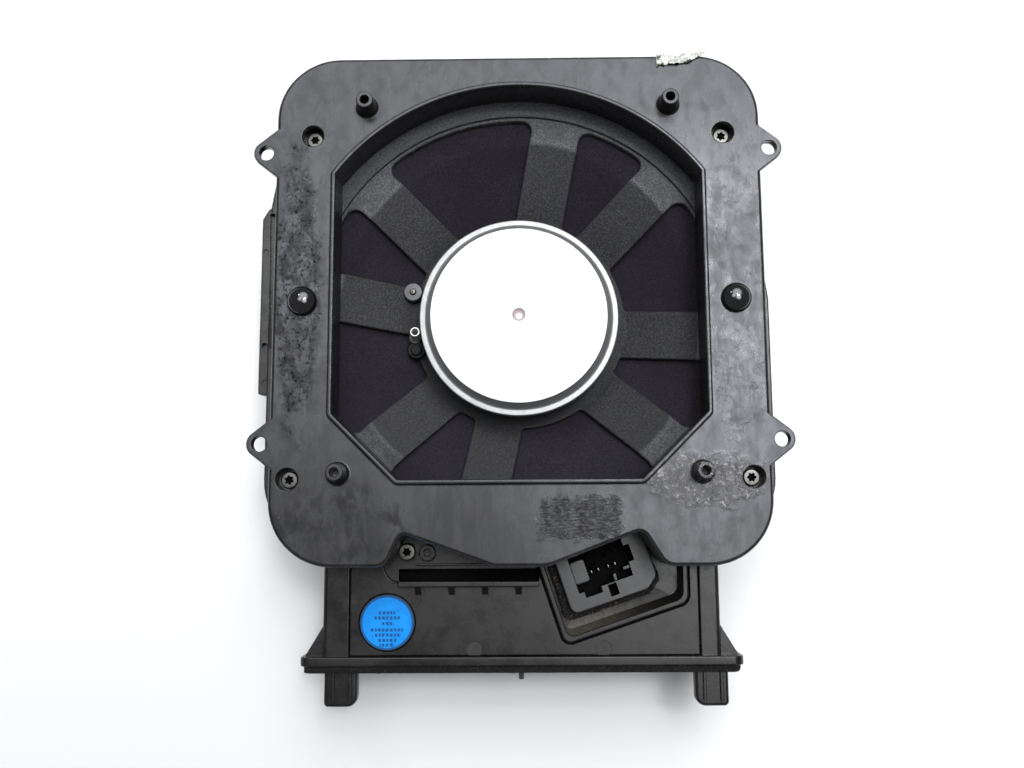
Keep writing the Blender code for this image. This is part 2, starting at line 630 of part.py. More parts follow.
# --- driver -------------------------------------------------------------------------------
def build_basket(plastic):
    hub_under = HUB_TOP - SHEET
    rim_under = BASKET_TOP - SHEET
    spider_in, spider_out = SPIDER_R
    spider_top = SPIDER_Z + 0.0014
    landing_in, landing_out = LANDING_R
    profile = [(HUB_HOLE_R, hub_under), (spider_in, hub_under), (spider_in, spider_top),
               (spider_out, spider_top), (spider_out, hub_under), (HUB_R, hub_under),
               (BEND_R, rim_under), (landing_in, rim_under), (landing_in, LANDING_Z),
               (landing_out, LANDING_Z), (landing_out, rim_under), (BASKET_R, rim_under),
               (BASKET_R, BASKET_TOP), (BEND_R, BASKET_TOP), (HUB_R, HUB_TOP), (HUB_HOLE_R, HUB_TOP)]
    basket = lathe("basket", profile, plastic)
    for i, (x, y) in enumerate(EARS):
        direction = Vector((x, y)).normalized()
        across = Vector((-direction.y, direction.x)) * EAR_R
        root = direction * (BASKET_R - 0.003)
        middle = Vector((x, y))
        angle = math.atan2(y, x)
        tip = [middle + Vector((math.cos(angle + t), math.sin(angle + t))) * EAR_R
               for t in [math.radians(d) for d in range(-90, 91, 30)]]
        ear = [root + across * 1.3, root - across * 1.3] + tip
        join(basket, prism(f"basket_ear_{i}", ear, BASKET_TOP - SHEET, BASKET_TOP))
    for i, ((x, y), radius) in enumerate(LUGS):
        join(basket, prism(f"terminal_lug_{i}", circle(x, y, radius), LUG_BOTTOM, TERMINAL_Z))
    spokes = sorted((pair + s * SPOKE_SPREAD) % 360 for pair in SPOKE_PAIRS for s in (-1, 1))
    for i, first in enumerate(spokes):
        last = spokes[(i + 1) % len(spokes)]
        window = window_outline(first, last + 360 * (last < first))
        tool = prism(f"window_{i}", window, 0.040, 0.070)
        for k, ((x, y), radius) in enumerate(LUGS):
            kept = circle(x, y, radius - 0.0002)
            cut(tool, prism(f"window_lug_{i}_{k}", kept, 0.030, 0.080))
        cut(basket, tool)
    for i, (x, y) in enumerate(EARS):
        cut(basket, prism(f"basket_hole_{i}", circle(x, y, 0.0022, 12), 0.060, 0.070))
    for i, (x, y) in enumerate((TERMINAL_WASHER, TERMINAL_TUBE)):
        cut(basket, prism(f"rivet_hole_{i}", circle(x, y, 0.0012, 10), 0.040, 0.060))
    return basket


def build_scrim(cloth):
    """A thin cloth under the spokes, closing the windows."""
    top = [(0.0485, HUB_TOP - SHEET - GAP), (HUB_R + 0.0002, HUB_TOP - SHEET - GAP),
           (BEND_R + 0.0002, BASKET_TOP - SHEET - GAP), (0.1001, BASKET_TOP - SHEET - GAP)]
    under = [(radius, z - CLOTH) for radius, z in reversed(top)]
    scrim = lathe("basket_scrim", top[::-1] + under[::-1], cloth)
    for i, ((x, y), radius) in enumerate((LUGS[0], LUGS[-1])):
        cut(scrim, prism(f"scrim_hole_{i}", circle(x, y, radius + 0.0004), 0.030, 0.060))
    return scrim


def build_motor(plate, ferrite):
    pole = COIL_R - 0.0006
    pole_low = 0.0460
    groove = HUB_HOLE_R
    groove_top = YOKE_TOP - 0.0045
    bottom = YOKE_RING_TOP - 0.0050
    edge = 0.0004
    yoke = [(0, pole_low), (pole, pole_low), (pole, groove_top), (groove, groove_top),
            (groove, bottom), (YOKE_R - edge, bottom), (YOKE_R, bottom + edge),
            (YOKE_R, YOKE_RING_TOP - edge), (YOKE_R - edge, YOKE_RING_TOP),
            (PLATEAU_R + STEP_WIDTH, YOKE_RING_TOP), (PLATEAU_R + edge, YOKE_TOP - edge),
            (PLATEAU_R, YOKE_TOP), (DIMPLE_R, YOKE_TOP), (0, YOKE_TOP - 0.0014)]
    lathe("yoke", yoke, plate)
    turned_ring("top_plate", COIL_R + 0.0024, PLATE_R, HUB_TOP + GAP, PLATE_THICK, plate)
    magnet_low = HUB_TOP + PLATE_THICK + 2 * GAP
    turned_ring("magnet", 0.0295, MAGNET_R, magnet_low, bottom - GAP - magnet_low, ferrite)


def build_moving_parts(paper, rubber, kapton, copper, cloth):
    neck_r, neck_z = CONE_NECK
    edge_r, edge_z = CONE_EDGE
    former_out = COIL_R + FORMER
    former_low = neck_z - 0.001
    turned_ring("coil_former", COIL_R, former_out, former_low, FORMER_TOP - former_low, kapton)
    winding_in = former_out + 0.0001
    turned_ring("coil_winding", winding_in, winding_in + 0.0009, 0.0460, 0.0096, copper)
    lathe("cone", [(neck_r, neck_z), (edge_r, edge_z), (edge_r + 0.004, edge_z),
                   (edge_r + 0.004, edge_z + CONE_THICK), (edge_r - 0.0004, edge_z + CONE_THICK),
                   (neck_r, neck_z + CONE_THICK)], paper)
    cap = []
    rise = 0.0065
    rim_z = neck_z - 0.0015
    sphere = (COIL_R ** 2 + rise ** 2) / (2 * rise)
    for radius in (0, 0.009, 0.017, COIL_R + 0.0004):
        cap.append((radius, rim_z - rise + sphere - math.sqrt(sphere ** 2 - radius ** 2)))
    shell = [(radius, z - 0.0008) for radius, z in reversed(cap)]
    lathe("dust_cap", shell[::-1] + cap[::-1], paper, MIDDLE)
    build_surround(rubber)
    build_spider(cloth)


def build_surround(rubber):
    """A half roll that hangs below the line from the cone's edge to the basket."""
    inner = CONE_EDGE[0] + 0.0005
    roll_in = CONE_EDGE[0] + 0.0045
    roll_out = 0.1012
    outer = 0.1048
    top = CONE_EDGE[1] - GAP
    middle = (roll_in + roll_out) / 2
    half = (roll_out - roll_in) / 2
    upper = [(inner, top)]
    for k in range(6):
        angle = math.pi * k / 5
        upper.append((middle - half * math.cos(angle), top - 1.35 * half * math.sin(angle)))
    landing = LANDING_Z - GAP
    upper[-1] = (roll_out, landing)
    upper.append((outer, landing))
    lower = [(radius, z - RUBBER_THICK) for radius, z in upper]
    lathe("surround", upper[::-1] + lower, rubber, MIDDLE)


def build_spider(cloth):
    """A corrugated ring between the voice coil's former and the basket's landing."""
    inner = COIL_R + FORMER + 0.0003
    outer = 0.0476
    steps = 6
    flat_in = inner + 0.0015
    flat_out = outer - 0.0034
    landing = SPIDER_Z + 0.0011
    top = [(inner, SPIDER_Z)]
    for k in range(steps):
        radius = flat_in + (flat_out - flat_in) * k / steps
        top.append((radius, SPIDER_Z - 0.0007 * (k % 2)))
    top += [(flat_out, landing), (outer, landing)]
    under = [(radius, z - CLOTH) for radius, z in top]
    lathe("spider", top[::-1] + under, cloth, MIDDLE)


def build_terminals(metal, dark):
    """A riveted washer, a small boss and a hollow solder tube on the basket's lugs."""
    z = TERMINAL_Z + GAP
    washer = [(0, z), (0.0045, z), (0.0045, z + 0.0009), (0.0015, z + 0.0011),
              (0.0013, z + 0.0018), (0, z + 0.0020)]
    lathe("terminal_washer", washer, metal, SMALL, TERMINAL_WASHER)
    boss = [(0, z), (0.0030, z), (0.0028, z + 0.0024), (0, z + 0.0024)]
    lathe("terminal_boss", boss, dark, SMALL, TERMINAL_BOSS)
    top = z + 0.0102
    hollow = [(0.0014, z), (0.0026, z), (0.0026, z + 0.0006), (0.0022, z + 0.0010),
              (0.0022, top), (0.0014, top)]
    tube_body = lathe("terminal_tube", hollow, metal, SMALL, TERMINAL_TUBE)
    for vertex in tube_body.data.vertices:
        vertex.co += TUBE_LEAN * (vertex.co.z - z)


def build_screws(steel):
    """Star-drive screws: the frame's, the cover's and the driver's."""
    for i, (x, y) in enumerate(WELLS):
        screw(f"frame_screw_{i + 1}", (x, y), WELL_FLOOR + GAP, SCREW_TIP + 0.002, steel)
    seat = BASKET_TOP - SHEET - GAP
    upside_down = Matrix.Rotation(math.pi, 4, "X")
    for i, (x, y) in enumerate(EARS):
        obj = screw(f"driver_screw_{i + 1}", (0, 0), 0.0, -0.0120, steel)
        obj.matrix_world = Matrix.Translation((x, y, seat)) @ upside_down
    x, y, top = COVER_BOSSES[0]
    screw("cover_screw", (x, y), top + GAP, DUCT_TOP, steel)


def screw(name, at, seat, tip, steel):
    """A pan head with a star recess, on a plain shank."""
    head = [(0, tip), (SHANK_R, tip + 0.0008), (SHANK_R, seat), (HEAD_R, seat),
            (HEAD_R, seat + 0.0010), (HEAD_R - 0.0010, seat + 0.0024), (0, seat + 0.0026)]
    obj = lathe(name, head, steel, SMALL, at)
    star = []
    for k in range(12):
        radius = STAR_R if k % 2 else STAR_R * 0.72
        angle = 2 * math.pi * k / 12
        star.append(Vector(at) + Vector((math.cos(angle), math.sin(angle))) * radius)
    cut(obj, prism(name + "_star", star, seat + 0.0012, seat + 0.004))
    return obj


def build_bumpers(rubber):
    """Domed bumpers pressed into the frame by a short stem."""
    for name, (x, y) in zip(("bumper_left", "bumper_right"), BUMPERS):
        base = FACE_Z + GAP
        stem_low = FACE_Z - 0.0045
        dome = [(0, stem_low), (BUMPER_STEM_R, stem_low), (BUMPER_STEM_R, base), (BUMPER_R, base)]
        steps = 5
        for k in range(1, steps + 1):
            angle = math.pi / 2 * k / steps
            radius = BUMPER_R * math.cos(angle) if k < steps else 0
            dome.append((radius, base + 0.0004 + BUMPER_HEIGHT * math.sin(angle)))
        lathe(name, dome, rubber, 18, (x, y))


def build_wires(sleeve):
    """Two wires from the socket's stem, through the duct and round the tub to the basket."""
    for i, name in enumerate(("speaker_wire_1", "speaker_wire_2")):
        lift = 0.0030 * i
        rise_y = -0.0045 * i
        start = slanted([(-0.0045 + 0.0090 * i, -0.0030)])[0]
        route = [(start.x, start.y, 0.0390), (start.x - 0.002, start.y, 0.0300),
                 (start.x - 0.004, -0.1080, 0.0120 + lift), (-0.030, -0.1010, 0.0060 + lift),
                 (-0.070, -0.0920, 0.0060 + lift), (-0.0990, -0.0600, 0.0060 + lift),
                 (-0.1070, -0.0200 + rise_y, 0.0100 + lift), (-0.1075, rise_y, 0.0300),
                 (-0.1075, 0.0030 + rise_y, 0.0610)]
        tube(name, curve_points(route, 4), 0.0009, sleeve, 6)


def build_tinsel(braid):
    """Flexible leads from the terminals' undersides to the coil former's neck."""
    for i, (x, y) in enumerate((TERMINAL_WASHER, TERMINAL_BOSS)):
        out = Vector((x, y)).normalized()
        start = out * 0.0535
        end = out * (COIL_R + FORMER + 0.0014)
        route = [(start.x, start.y, 0.0432), (out.x * 0.0500, out.y * 0.0500, 0.0405),
                 (out.x * 0.0400, out.y * 0.0400, 0.0365), (end.x, end.y, 0.0360)]
        tube(f"tinsel_lead_{i + 1}", curve_points(route, 4), 0.0005, braid, 6)


# --- build --------------------------------------------------------------------------------
def main():
    for obj in list(bpy.data.objects):
        bpy.data.objects.remove(obj, do_unlink=True)
    black = material("frame_plastic", (0.055, 0.055, 0.058), 0.42)
    brown_black = material("housing_plastic", (0.060, 0.056, 0.055), 0.50)
    grained = material("basket_plastic", (0.045, 0.045, 0.050), 0.62)
    socket = material("socket_plastic", (0.030, 0.030, 0.032), 0.45)
    foam = material("foam", (0.020, 0.020, 0.020), 0.95)
    cloth = material("black_cloth", (0.022, 0.020, 0.022), 0.95)
    rubber = material("rubber", (0.020, 0.020, 0.020), 0.35)
    bumper = material("bumper_rubber", (0.020, 0.020, 0.022), 0.12)
    paper = material("cone_paper", (0.040, 0.040, 0.042), 0.80)
    spider_cloth = material("spider_cloth", (0.60, 0.42, 0.16), 0.85)
    zinc = material("zinc_plate", (0.78, 0.78, 0.78), 0.28, 1.0)
    ferrite = material("ferrite", (0.050, 0.050, 0.052), 0.60)
    steel = material("screw_steel", (0.62, 0.62, 0.60), 0.32, 1.0)
    tin = material("tinned_brass", (0.70, 0.68, 0.62), 0.30, 1.0)
    kapton = material("coil_former", (0.45, 0.20, 0.06), 0.45)
    copper = material("copper", (0.72, 0.32, 0.16), 0.35, 1.0)
    braid = material("tinsel_braid", (0.75, 0.55, 0.22), 0.40, 1.0)
    sleeve = material("wire_sleeve", (0.035, 0.035, 0.035), 0.50)
    print_blue = material("label_blue", (0.010, 0.340, 0.900), 0.35)

    build_top_frame(black)
    build_lower_housing(brown_black)
    build_duct_cover(brown_black)
    build_mouth_gasket(foam)
    build_socket(socket, foam, tin)
    label = circle(*LABEL_AT, LABEL_R, ROUND)
    prism("label", label, DUCT_TOP + GAP, DUCT_TOP + 2 * GAP, print_blue)
    build_screws(steel)
    build_bumpers(bumper)
    gasket_low = BASKET_TOP + GAP
    gasket_thick = COLLAR_Z - GAP - gasket_low
    turned_ring("driver_gasket", LANDING_R[0], BASKET_R, gasket_low, gasket_thick, foam, ROUND)
    build_basket(grained)
    build_scrim(cloth)
    build_motor(zinc, ferrite)
    build_moving_parts(paper, rubber, kapton, copper, spider_cloth)
    build_terminals(steel, socket)
    build_tinsel(braid)
    build_wires(sleeve)


main()
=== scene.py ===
"""Looks for the shallow car subwoofer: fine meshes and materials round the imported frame."""
import math

import bmesh
import bpy
import numpy as np
from mathutils import Matrix, Vector, noise


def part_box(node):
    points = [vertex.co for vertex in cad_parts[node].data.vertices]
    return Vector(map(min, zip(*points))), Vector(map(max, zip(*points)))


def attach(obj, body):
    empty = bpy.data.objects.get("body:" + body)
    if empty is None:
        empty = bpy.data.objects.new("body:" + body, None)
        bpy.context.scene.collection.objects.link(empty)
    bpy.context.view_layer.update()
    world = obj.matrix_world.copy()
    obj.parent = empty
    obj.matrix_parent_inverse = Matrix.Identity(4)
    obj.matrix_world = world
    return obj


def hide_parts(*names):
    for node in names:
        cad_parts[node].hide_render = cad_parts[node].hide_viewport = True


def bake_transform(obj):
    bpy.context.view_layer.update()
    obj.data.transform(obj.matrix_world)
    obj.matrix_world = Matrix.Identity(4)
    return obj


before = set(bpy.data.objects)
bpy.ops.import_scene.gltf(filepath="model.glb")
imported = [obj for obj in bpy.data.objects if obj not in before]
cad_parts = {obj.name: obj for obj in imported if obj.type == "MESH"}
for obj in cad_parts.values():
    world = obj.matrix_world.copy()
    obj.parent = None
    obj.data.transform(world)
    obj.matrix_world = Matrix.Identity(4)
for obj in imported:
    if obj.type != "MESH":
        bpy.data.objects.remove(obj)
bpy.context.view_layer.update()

# --- places and sizes, from the frame ------------------------------------------------------
FIXED = "enclosure"
MOVING = "cone_assembly"
GAP = 0.0003
frame_low, frame_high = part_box("top_frame")
POST_HEIGHT = 0.010
FACE = frame_high.z - POST_HEIGHT
SKIRT = frame_low.z
SPLIT = SKIRT - GAP
TOP_Y = frame_high.y
BOTTOM_Y = frame_low.y
HALF_WIDTH = 0.115
CORNER_R = 0.030
EDGE_R = 0.0018
WALL = 0.0025
LIP_WIDTH = 0.0022
LIP_HEIGHT = 0.002
COLLAR_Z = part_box("driver_gasket")[1].z + GAP
OPEN_R = 0.1081
OPEN_X = 0.0862
OPEN_Y = -0.0792
OPEN_CHAMFER = 0.0304
POSTS = [(-0.0718, 0.0985), (0.0718, 0.0985), (-0.0830, -0.0762), (0.0830, -0.0762)]
POST_R = 0.0048
POST_TIP_R = 0.0040
TABS = [(-0.1198, 0.0764), (0.1192, 0.0768), (-0.1194, -0.0625), (0.1198, -0.0617)]
TAB_R = 0.0060
TAB_SLANT = 38
TAB_THICK = 0.0045
WELLS = [(-0.0977, 0.0846), (0.0977, 0.0846), (-0.1063, -0.0788), (0.1063, -0.0788)]
WELL_R = 0.0050
WELL_FLOOR = 0.077
EARS = [(-0.0800, 0.0840), (0.0800, 0.0840), (-0.0820, -0.0840), (0.0820, -0.0840)]
BUMPERS = [(-0.101, 0.0041), (0.101, 0.0041)]
BUMPER_R = 0.0070

TUB_INSET = 0.002
RIM_X = (-0.1230, 0.1220)
RIM_Y = (0.0570, 0.0090)
RIM_LOW = -0.1080
RAIL_X = -0.1273
DUCT_X = 0.095
DUCT_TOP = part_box("label")[0].z - GAP
DUCT_BOTTOM = 0.006
DUCT_ROOT = -0.095
MOUTH_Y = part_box("mouth_gasket")[1].y + GAP
FLANGE_THICK = 0.0044
FLANGE_X = 0.1055
FLANGE_Z = (0.002, 0.0555)
MOUTH_X = 0.088
MOUTH_Z = (0.010, 0.045)
COVER_X = (-0.082, 0.085)
COVER_THICK = 0.0032
LEDGE = 0.003
HORN_X = (-0.0864, 0.0905)
HORN_HALF = 0.0080
HORN_Z = (0.043, 0.050)
HORN_LENGTH = 0.0195
GASKET_THICK = 0.0030
PLUG_ANGLE = math.radians(18.5)
PLUG_AT = Vector((0.0400, -0.1215))
SOCKET_X = (-0.0215, 0.0230)
SOCKET_Y = (-0.0152, 0.0180)
POCKET_LEFT = -0.0266
POCKET_LOW = -0.0246
POCKET_HIGH = 0.0340
POCKET_RIGHT = 0.0773
POCKET_FLOOR = 0.0450
POCKET_DRAFT = 0.0025
PLUG_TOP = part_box("connector_housing")[1].z
PIN_X = (-0.0060, -0.0025, 0.0025, 0.0060)
RIB_X = (-0.0585, 0.0087)
RIB_Y = -0.1277
RIB_HALF = 0.0013
RIB_TOP = 0.0580
TROUGH_Z = 0.0470
COVER_BOSSES = [(-0.0540, -0.1124, 0.0575), (-0.0448, -0.1130, 0.0560)]
LABEL_AT = (-0.0640, -0.1458)
LABEL_R = 0.0128

BASKET_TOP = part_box("driver_gasket")[0].z - GAP
BASKET_R = 0.1095
SHEET = 0.003
BEND_R = 0.088
HUB_R = 0.052
HUB_TOP = 0.048
HUB_HOLE_R = 0.0285
LANDING_Z = 0.0520
SPIDER_Z = 0.0415
EAR_R = 0.0048
SPOKE_WIDTH = 0.0238
SPOKE_PAIRS = (18.3 - 42.6, 18.3 + 42.6, 198.3 - 42.6, 198.3 + 42.6)
SPOKE_SPREAD = 17.6
WINDOW_R = (0.0530, 0.0990)
TERMINAL_Z = 0.0525
TERMINAL_WASHER = (-0.0528, 0.0154)
TERMINAL_TUBE = (-0.0517, -0.0079)
TERMINAL_BOSS = (-0.0510, -0.0138)
LUGS = [(TERMINAL_WASHER, 0.0050), (TERMINAL_TUBE, 0.0034), (TERMINAL_BOSS, 0.0042)]
TUBE_LEAN = Vector((0.10, 0.13, 0.0))
COIL_R = 0.0252
FORMER = 0.0005
YOKE_R = 0.0482
YOKE_RING_TOP = 0.0654
YOKE_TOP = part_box("yoke")[1].z
PLATEAU_R = 0.0421
STEP_WIDTH = 0.0034
CONE_EDGE = (0.088, 0.050)
HEAD_R = 0.0041
SHANK_R = 0.0017
SCREW_TIP = 0.0500
STAR_R = 0.0023

FINE = math.radians(7.5)         # arc step of the fine outlines
ROUND = 192                      # segments of the large turned pieces
SMALL = 40                       # segments of the small turned pieces


# --- mesh helpers --------------------------------------------------------------------------
def finish(name, bm, mat=None, sharp=35):
    """Turn a bmesh into a smooth-shaded object with outward faces."""
    bmesh.ops.recalc_face_normals(bm, faces=bm.faces)
    mesh = bpy.data.meshes.new(name)
    bm.to_mesh(mesh)
    bm.free()
    obj = bpy.data.objects.new(name, mesh)
    bpy.context.scene.collection.objects.link(obj)
    if mat is not None:
        mesh.materials.append(mat)
    mesh.shade_smooth()
    mesh.set_sharp_from_angle(angle=math.radians(sharp))
    return obj


def offset(outline, distance):
    """Move a closed anticlockwise outline outwards by a distance."""
    count = len(outline)
    moved = []
    for i, point in enumerate(outline):
        before = (point - outline[i - 1]).normalized()
        after = (outline[(i + 1) % count] - point).normalized()
        normal = Vector((before.y + after.y, -before.x - after.x)).normalized()
        stretch = max(0.5, normal.dot(Vector((after.y, -after.x))))
        moved.append(point + normal * (distance / stretch))
    return moved


def rounded(corners, step=FINE):
    """An outline through corners (x, y, radius), each turned by a fillet arc."""
    count = len(corners)
    points = []
    for i in range(count):
        x, y, radius = corners[i]
        here = Vector((x, y))
        if radius == 0:
            points.append(here)
            continue
        to_last = (Vector(corners[i - 1][:2]) - here).normalized()
        to_next = (Vector(corners[(i + 1) % count][:2]) - here).normalized()
        half = to_last.angle(to_next) / 2
        turn = math.pi - 2 * half
        reach = radius / math.tan(half)
        centre = here + (to_last + to_next).normalized() * (radius / math.sin(half))
        first = here + to_last * reach - centre
        direction = 1 if to_last.cross(to_next) < 0 else -1
        parts = max(2, round(turn / step))
        for k in range(parts + 1):
            angle = direction * turn * k / parts
            points.append(centre + Matrix.Rotation(angle, 2) @ first)
    return points


def box_outline(x0, x1, y0, y1, radius=0.0):
    return rounded([(x0, y0, radius), (x1, y0, radius), (x1, y1, radius), (x0, y1, radius)])


def spread(start, end, parts):
    """Evenly spaced values from start to end, both included."""
    return [start + (end - start) * k / parts for k in range(parts + 1)]


def polar(radius, angle, x=0.0, y=0.0):
    """The point at a radius and an angle round (x, y)."""
    return Vector((x + radius * math.cos(angle), y + radius * math.sin(angle)))


def circle(x, y, radius, sides=SMALL):
    return [polar(radius, 2 * math.pi * k / sides, x, y) for k in range(sides)]


def loft(name, rings, mat=None, closed=False):
    """A solid through rings of 3D points; closed rings turn back on themselves, without caps."""
    bm = bmesh.new()
    rows = [[bm.verts.new(p) for p in ring] for ring in rings]
    count = len(rows[0])
    pairs = list(zip(rows, rows[1:] + rows[:1])) if closed else list(zip(rows, rows[1:]))
    for low, high in pairs:
        for i in range(count):
            j = (i + 1) % count
            bm.faces.new((low[i], low[j], high[j], high[i]))
    if not closed:
        bm.faces.new(list(reversed(rows[0])))
        bm.faces.new(rows[-1])
    return finish(name, bm, mat)


def level(outline, z):
    return [Vector((p.x, p.y, z)) for p in outline]


def stack(name, layers, mat=None):
    return loft(name, [level(outline, z) for outline, z in layers], mat)


def prism(name, outline, z0, z1):
    return stack(name, [(outline, z0), (outline, z1)])


def arc_steps(radius, parts=4):
    """(inset, drop) pairs of a quarter round, from the side to the top."""
    for angle in spread(0.0, math.pi / 2, parts):
        yield radius * (1 - math.cos(angle)), radius * (1 - math.sin(angle))


def shoulder(reach, z, radius, side=-1, rising=1, parts=4):
    """Points of a rounded corner of a profile; side is -1 for an outer corner, 1 for an inner one."""
    return [(reach + side * inset, z - rising * drop) for inset, drop in arc_steps(radius, parts)]


def soft_prism(name, outline, z0, z1, top=0.0005, bottom=0.0, mat=None):
    """A prism whose upper and lower edges are rounded."""
    layers = []
    if bottom:
        layers += [(offset(outline, -inset), z0 + drop) for inset, drop in reversed(list(arc_steps(bottom)))]
    else:
        layers.append((outline, z0))
    if top:
        layers += [(offset(outline, -inset), z1 - drop) for inset, drop in arc_steps(top)]
    else:
        layers.append((outline, z1))
    return stack(name, layers, mat)


def flared(name, outline, z0, z1, radius=0.0004):
    """A cutter that rounds the rim of the hole it makes at height z1."""
    layers = [(outline, z0)]
    layers += [(offset(outline, inset), z1 - drop) for inset, drop in arc_steps(radius)]
    layers.append((offset(outline, radius), z1 + 0.004))
    return stack(name, layers)


def sweep(name, outline, profile):
    """A closed ring: profile points (outward offset, height) carried along an outline."""
    return loft(name, [level(offset(outline, grow), z) for grow, z in profile], closed=True)


def lathe(name, profile, mat=None, sides=ROUND, at=(0.0, 0.0)):
    """Turn a closed profile of (radius, height) points about a vertical axis."""
    bm = bmesh.new()
    columns = []
    for radius, z in profile:
        if radius == 0:
            columns.append([bm.verts.new((at[0], at[1], z))])
            continue
        columns.append([bm.verts.new((p.x, p.y, z)) for p in circle(at[0], at[1], radius, sides)])
    for a, b in zip(columns, columns[1:] + columns[:1]):
        for i in range(sides):
            j = (i + 1) % sides
            quad = [a[i % len(a)], a[j % len(a)], b[j % len(b)], b[i % len(b)]]
            corners = list(dict.fromkeys(quad))
            if len(corners) > 2:
                bm.faces.new(corners)
    return finish(name, bm, mat)


def tube(name, points, radius, mat=None, sides=12):
    """A round wire through the points."""
    bm = bmesh.new()
    points = [Vector(p) for p in points]
    rings = []
    side = Vector((0.0, 0.0, 1.0))
    for i, point in enumerate(points):
        ahead = points[min(i + 1, len(points) - 1)]
        behind = points[max(i - 1, 0)]
        along = (ahead - behind).normalized()
        side = side - along * side.dot(along)
        if side.length < 0.1:
            side = along.orthogonal()
        side.normalize()
        other = along.cross(side)
        ring = []
        for k in range(sides):
            angle = 2 * math.pi * k / sides
            ring.append(bm.verts.new(point + (side * math.cos(angle) + other * math.sin(angle)) * radius))
        rings.append(ring)
    for low, high in zip(rings, rings[1:]):
        for k in range(sides):
            j = (k + 1) % sides
            bm.faces.new((low[k], low[j], high[j], high[k]))
    bm.faces.new(rings[0])
    bm.faces.new(rings[-1])
    return finish(name, bm, mat)


def curve_points(corners, parts=10):
    """Points on a smooth path through the corners (Catmull-Rom)."""
    corners = [Vector(c) for c in corners]
    padded = [corners[0] * 2 - corners[1]] + corners + [corners[-1] * 2 - corners[-2]]
    points = []
    for i in range(1, len(padded) - 2):
        a, b, c, d = padded[i - 1:i + 3]
        for k in range(parts):
            t = k / parts
            points.append(0.5 * (2 * b + (c - a) * t + (2 * a - 5 * b + 4 * c - d) * t * t
                                 + (3 * b - a - 3 * c + d) * t ** 3))
    points.append(corners[-1])
    return points


def combine(target, operation, tools):
    """Boolean each tool into the target and drop the tool."""
    for tool in tools:
        modifier = target.modifiers.new("combine", "BOOLEAN")
        modifier.operation = operation
        modifier.solver = "EXACT"
        modifier.object = tool
        graph = bpy.context.evaluated_depsgraph_get()
        mesh = bpy.data.meshes.new_from_object(target.evaluated_get(graph))
        target.modifiers.clear()
        if not mesh.polygons:
            raise RuntimeError(f"{target.name} vanished at {tool.name}")
        old = target.data
        target.data = mesh
        bpy.data.meshes.remove(old)
        bpy.data.objects.remove(tool, do_unlink=True)
    return target


def cut(target, *tools):
    return combine(target, "DIFFERENCE", tools)


def join(target, *tools):
    return combine(target, "UNION", tools)


def repaint(obj, look, inside):
    """Give the faces whose centres pass the test another look."""
    obj.data.materials.append(LOOKS[look])
    index = len(obj.data.materials) - 1
    for polygon in obj.data.polygons:
        if inside(polygon.center):
            polygon.material_index = index


def dress(obj, body, nodes, sharp=32):
    """Shade a finished piece, let it ride on its body and stand for its CAD nodes."""
    obj.data.shade_smooth()
    obj.data.set_sharp_from_angle(angle=math.radians(sharp))
    weighted = obj.modifiers.new("weighted_normals", "WEIGHTED_NORMAL")
    weighted.keep_sharp = True
    weighted.weight = 60
    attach(obj, body)
    if nodes:
        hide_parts(*nodes)
    return obj


def upright(obj, y):
    """Stand a prism drawn in X and Z up, so that its height runs along -Y from y."""
    turn = Matrix.Translation((0, y, 0)) @ Matrix.Rotation(math.radians(90), 4, "X")
    obj.data.transform(turn)
    return obj


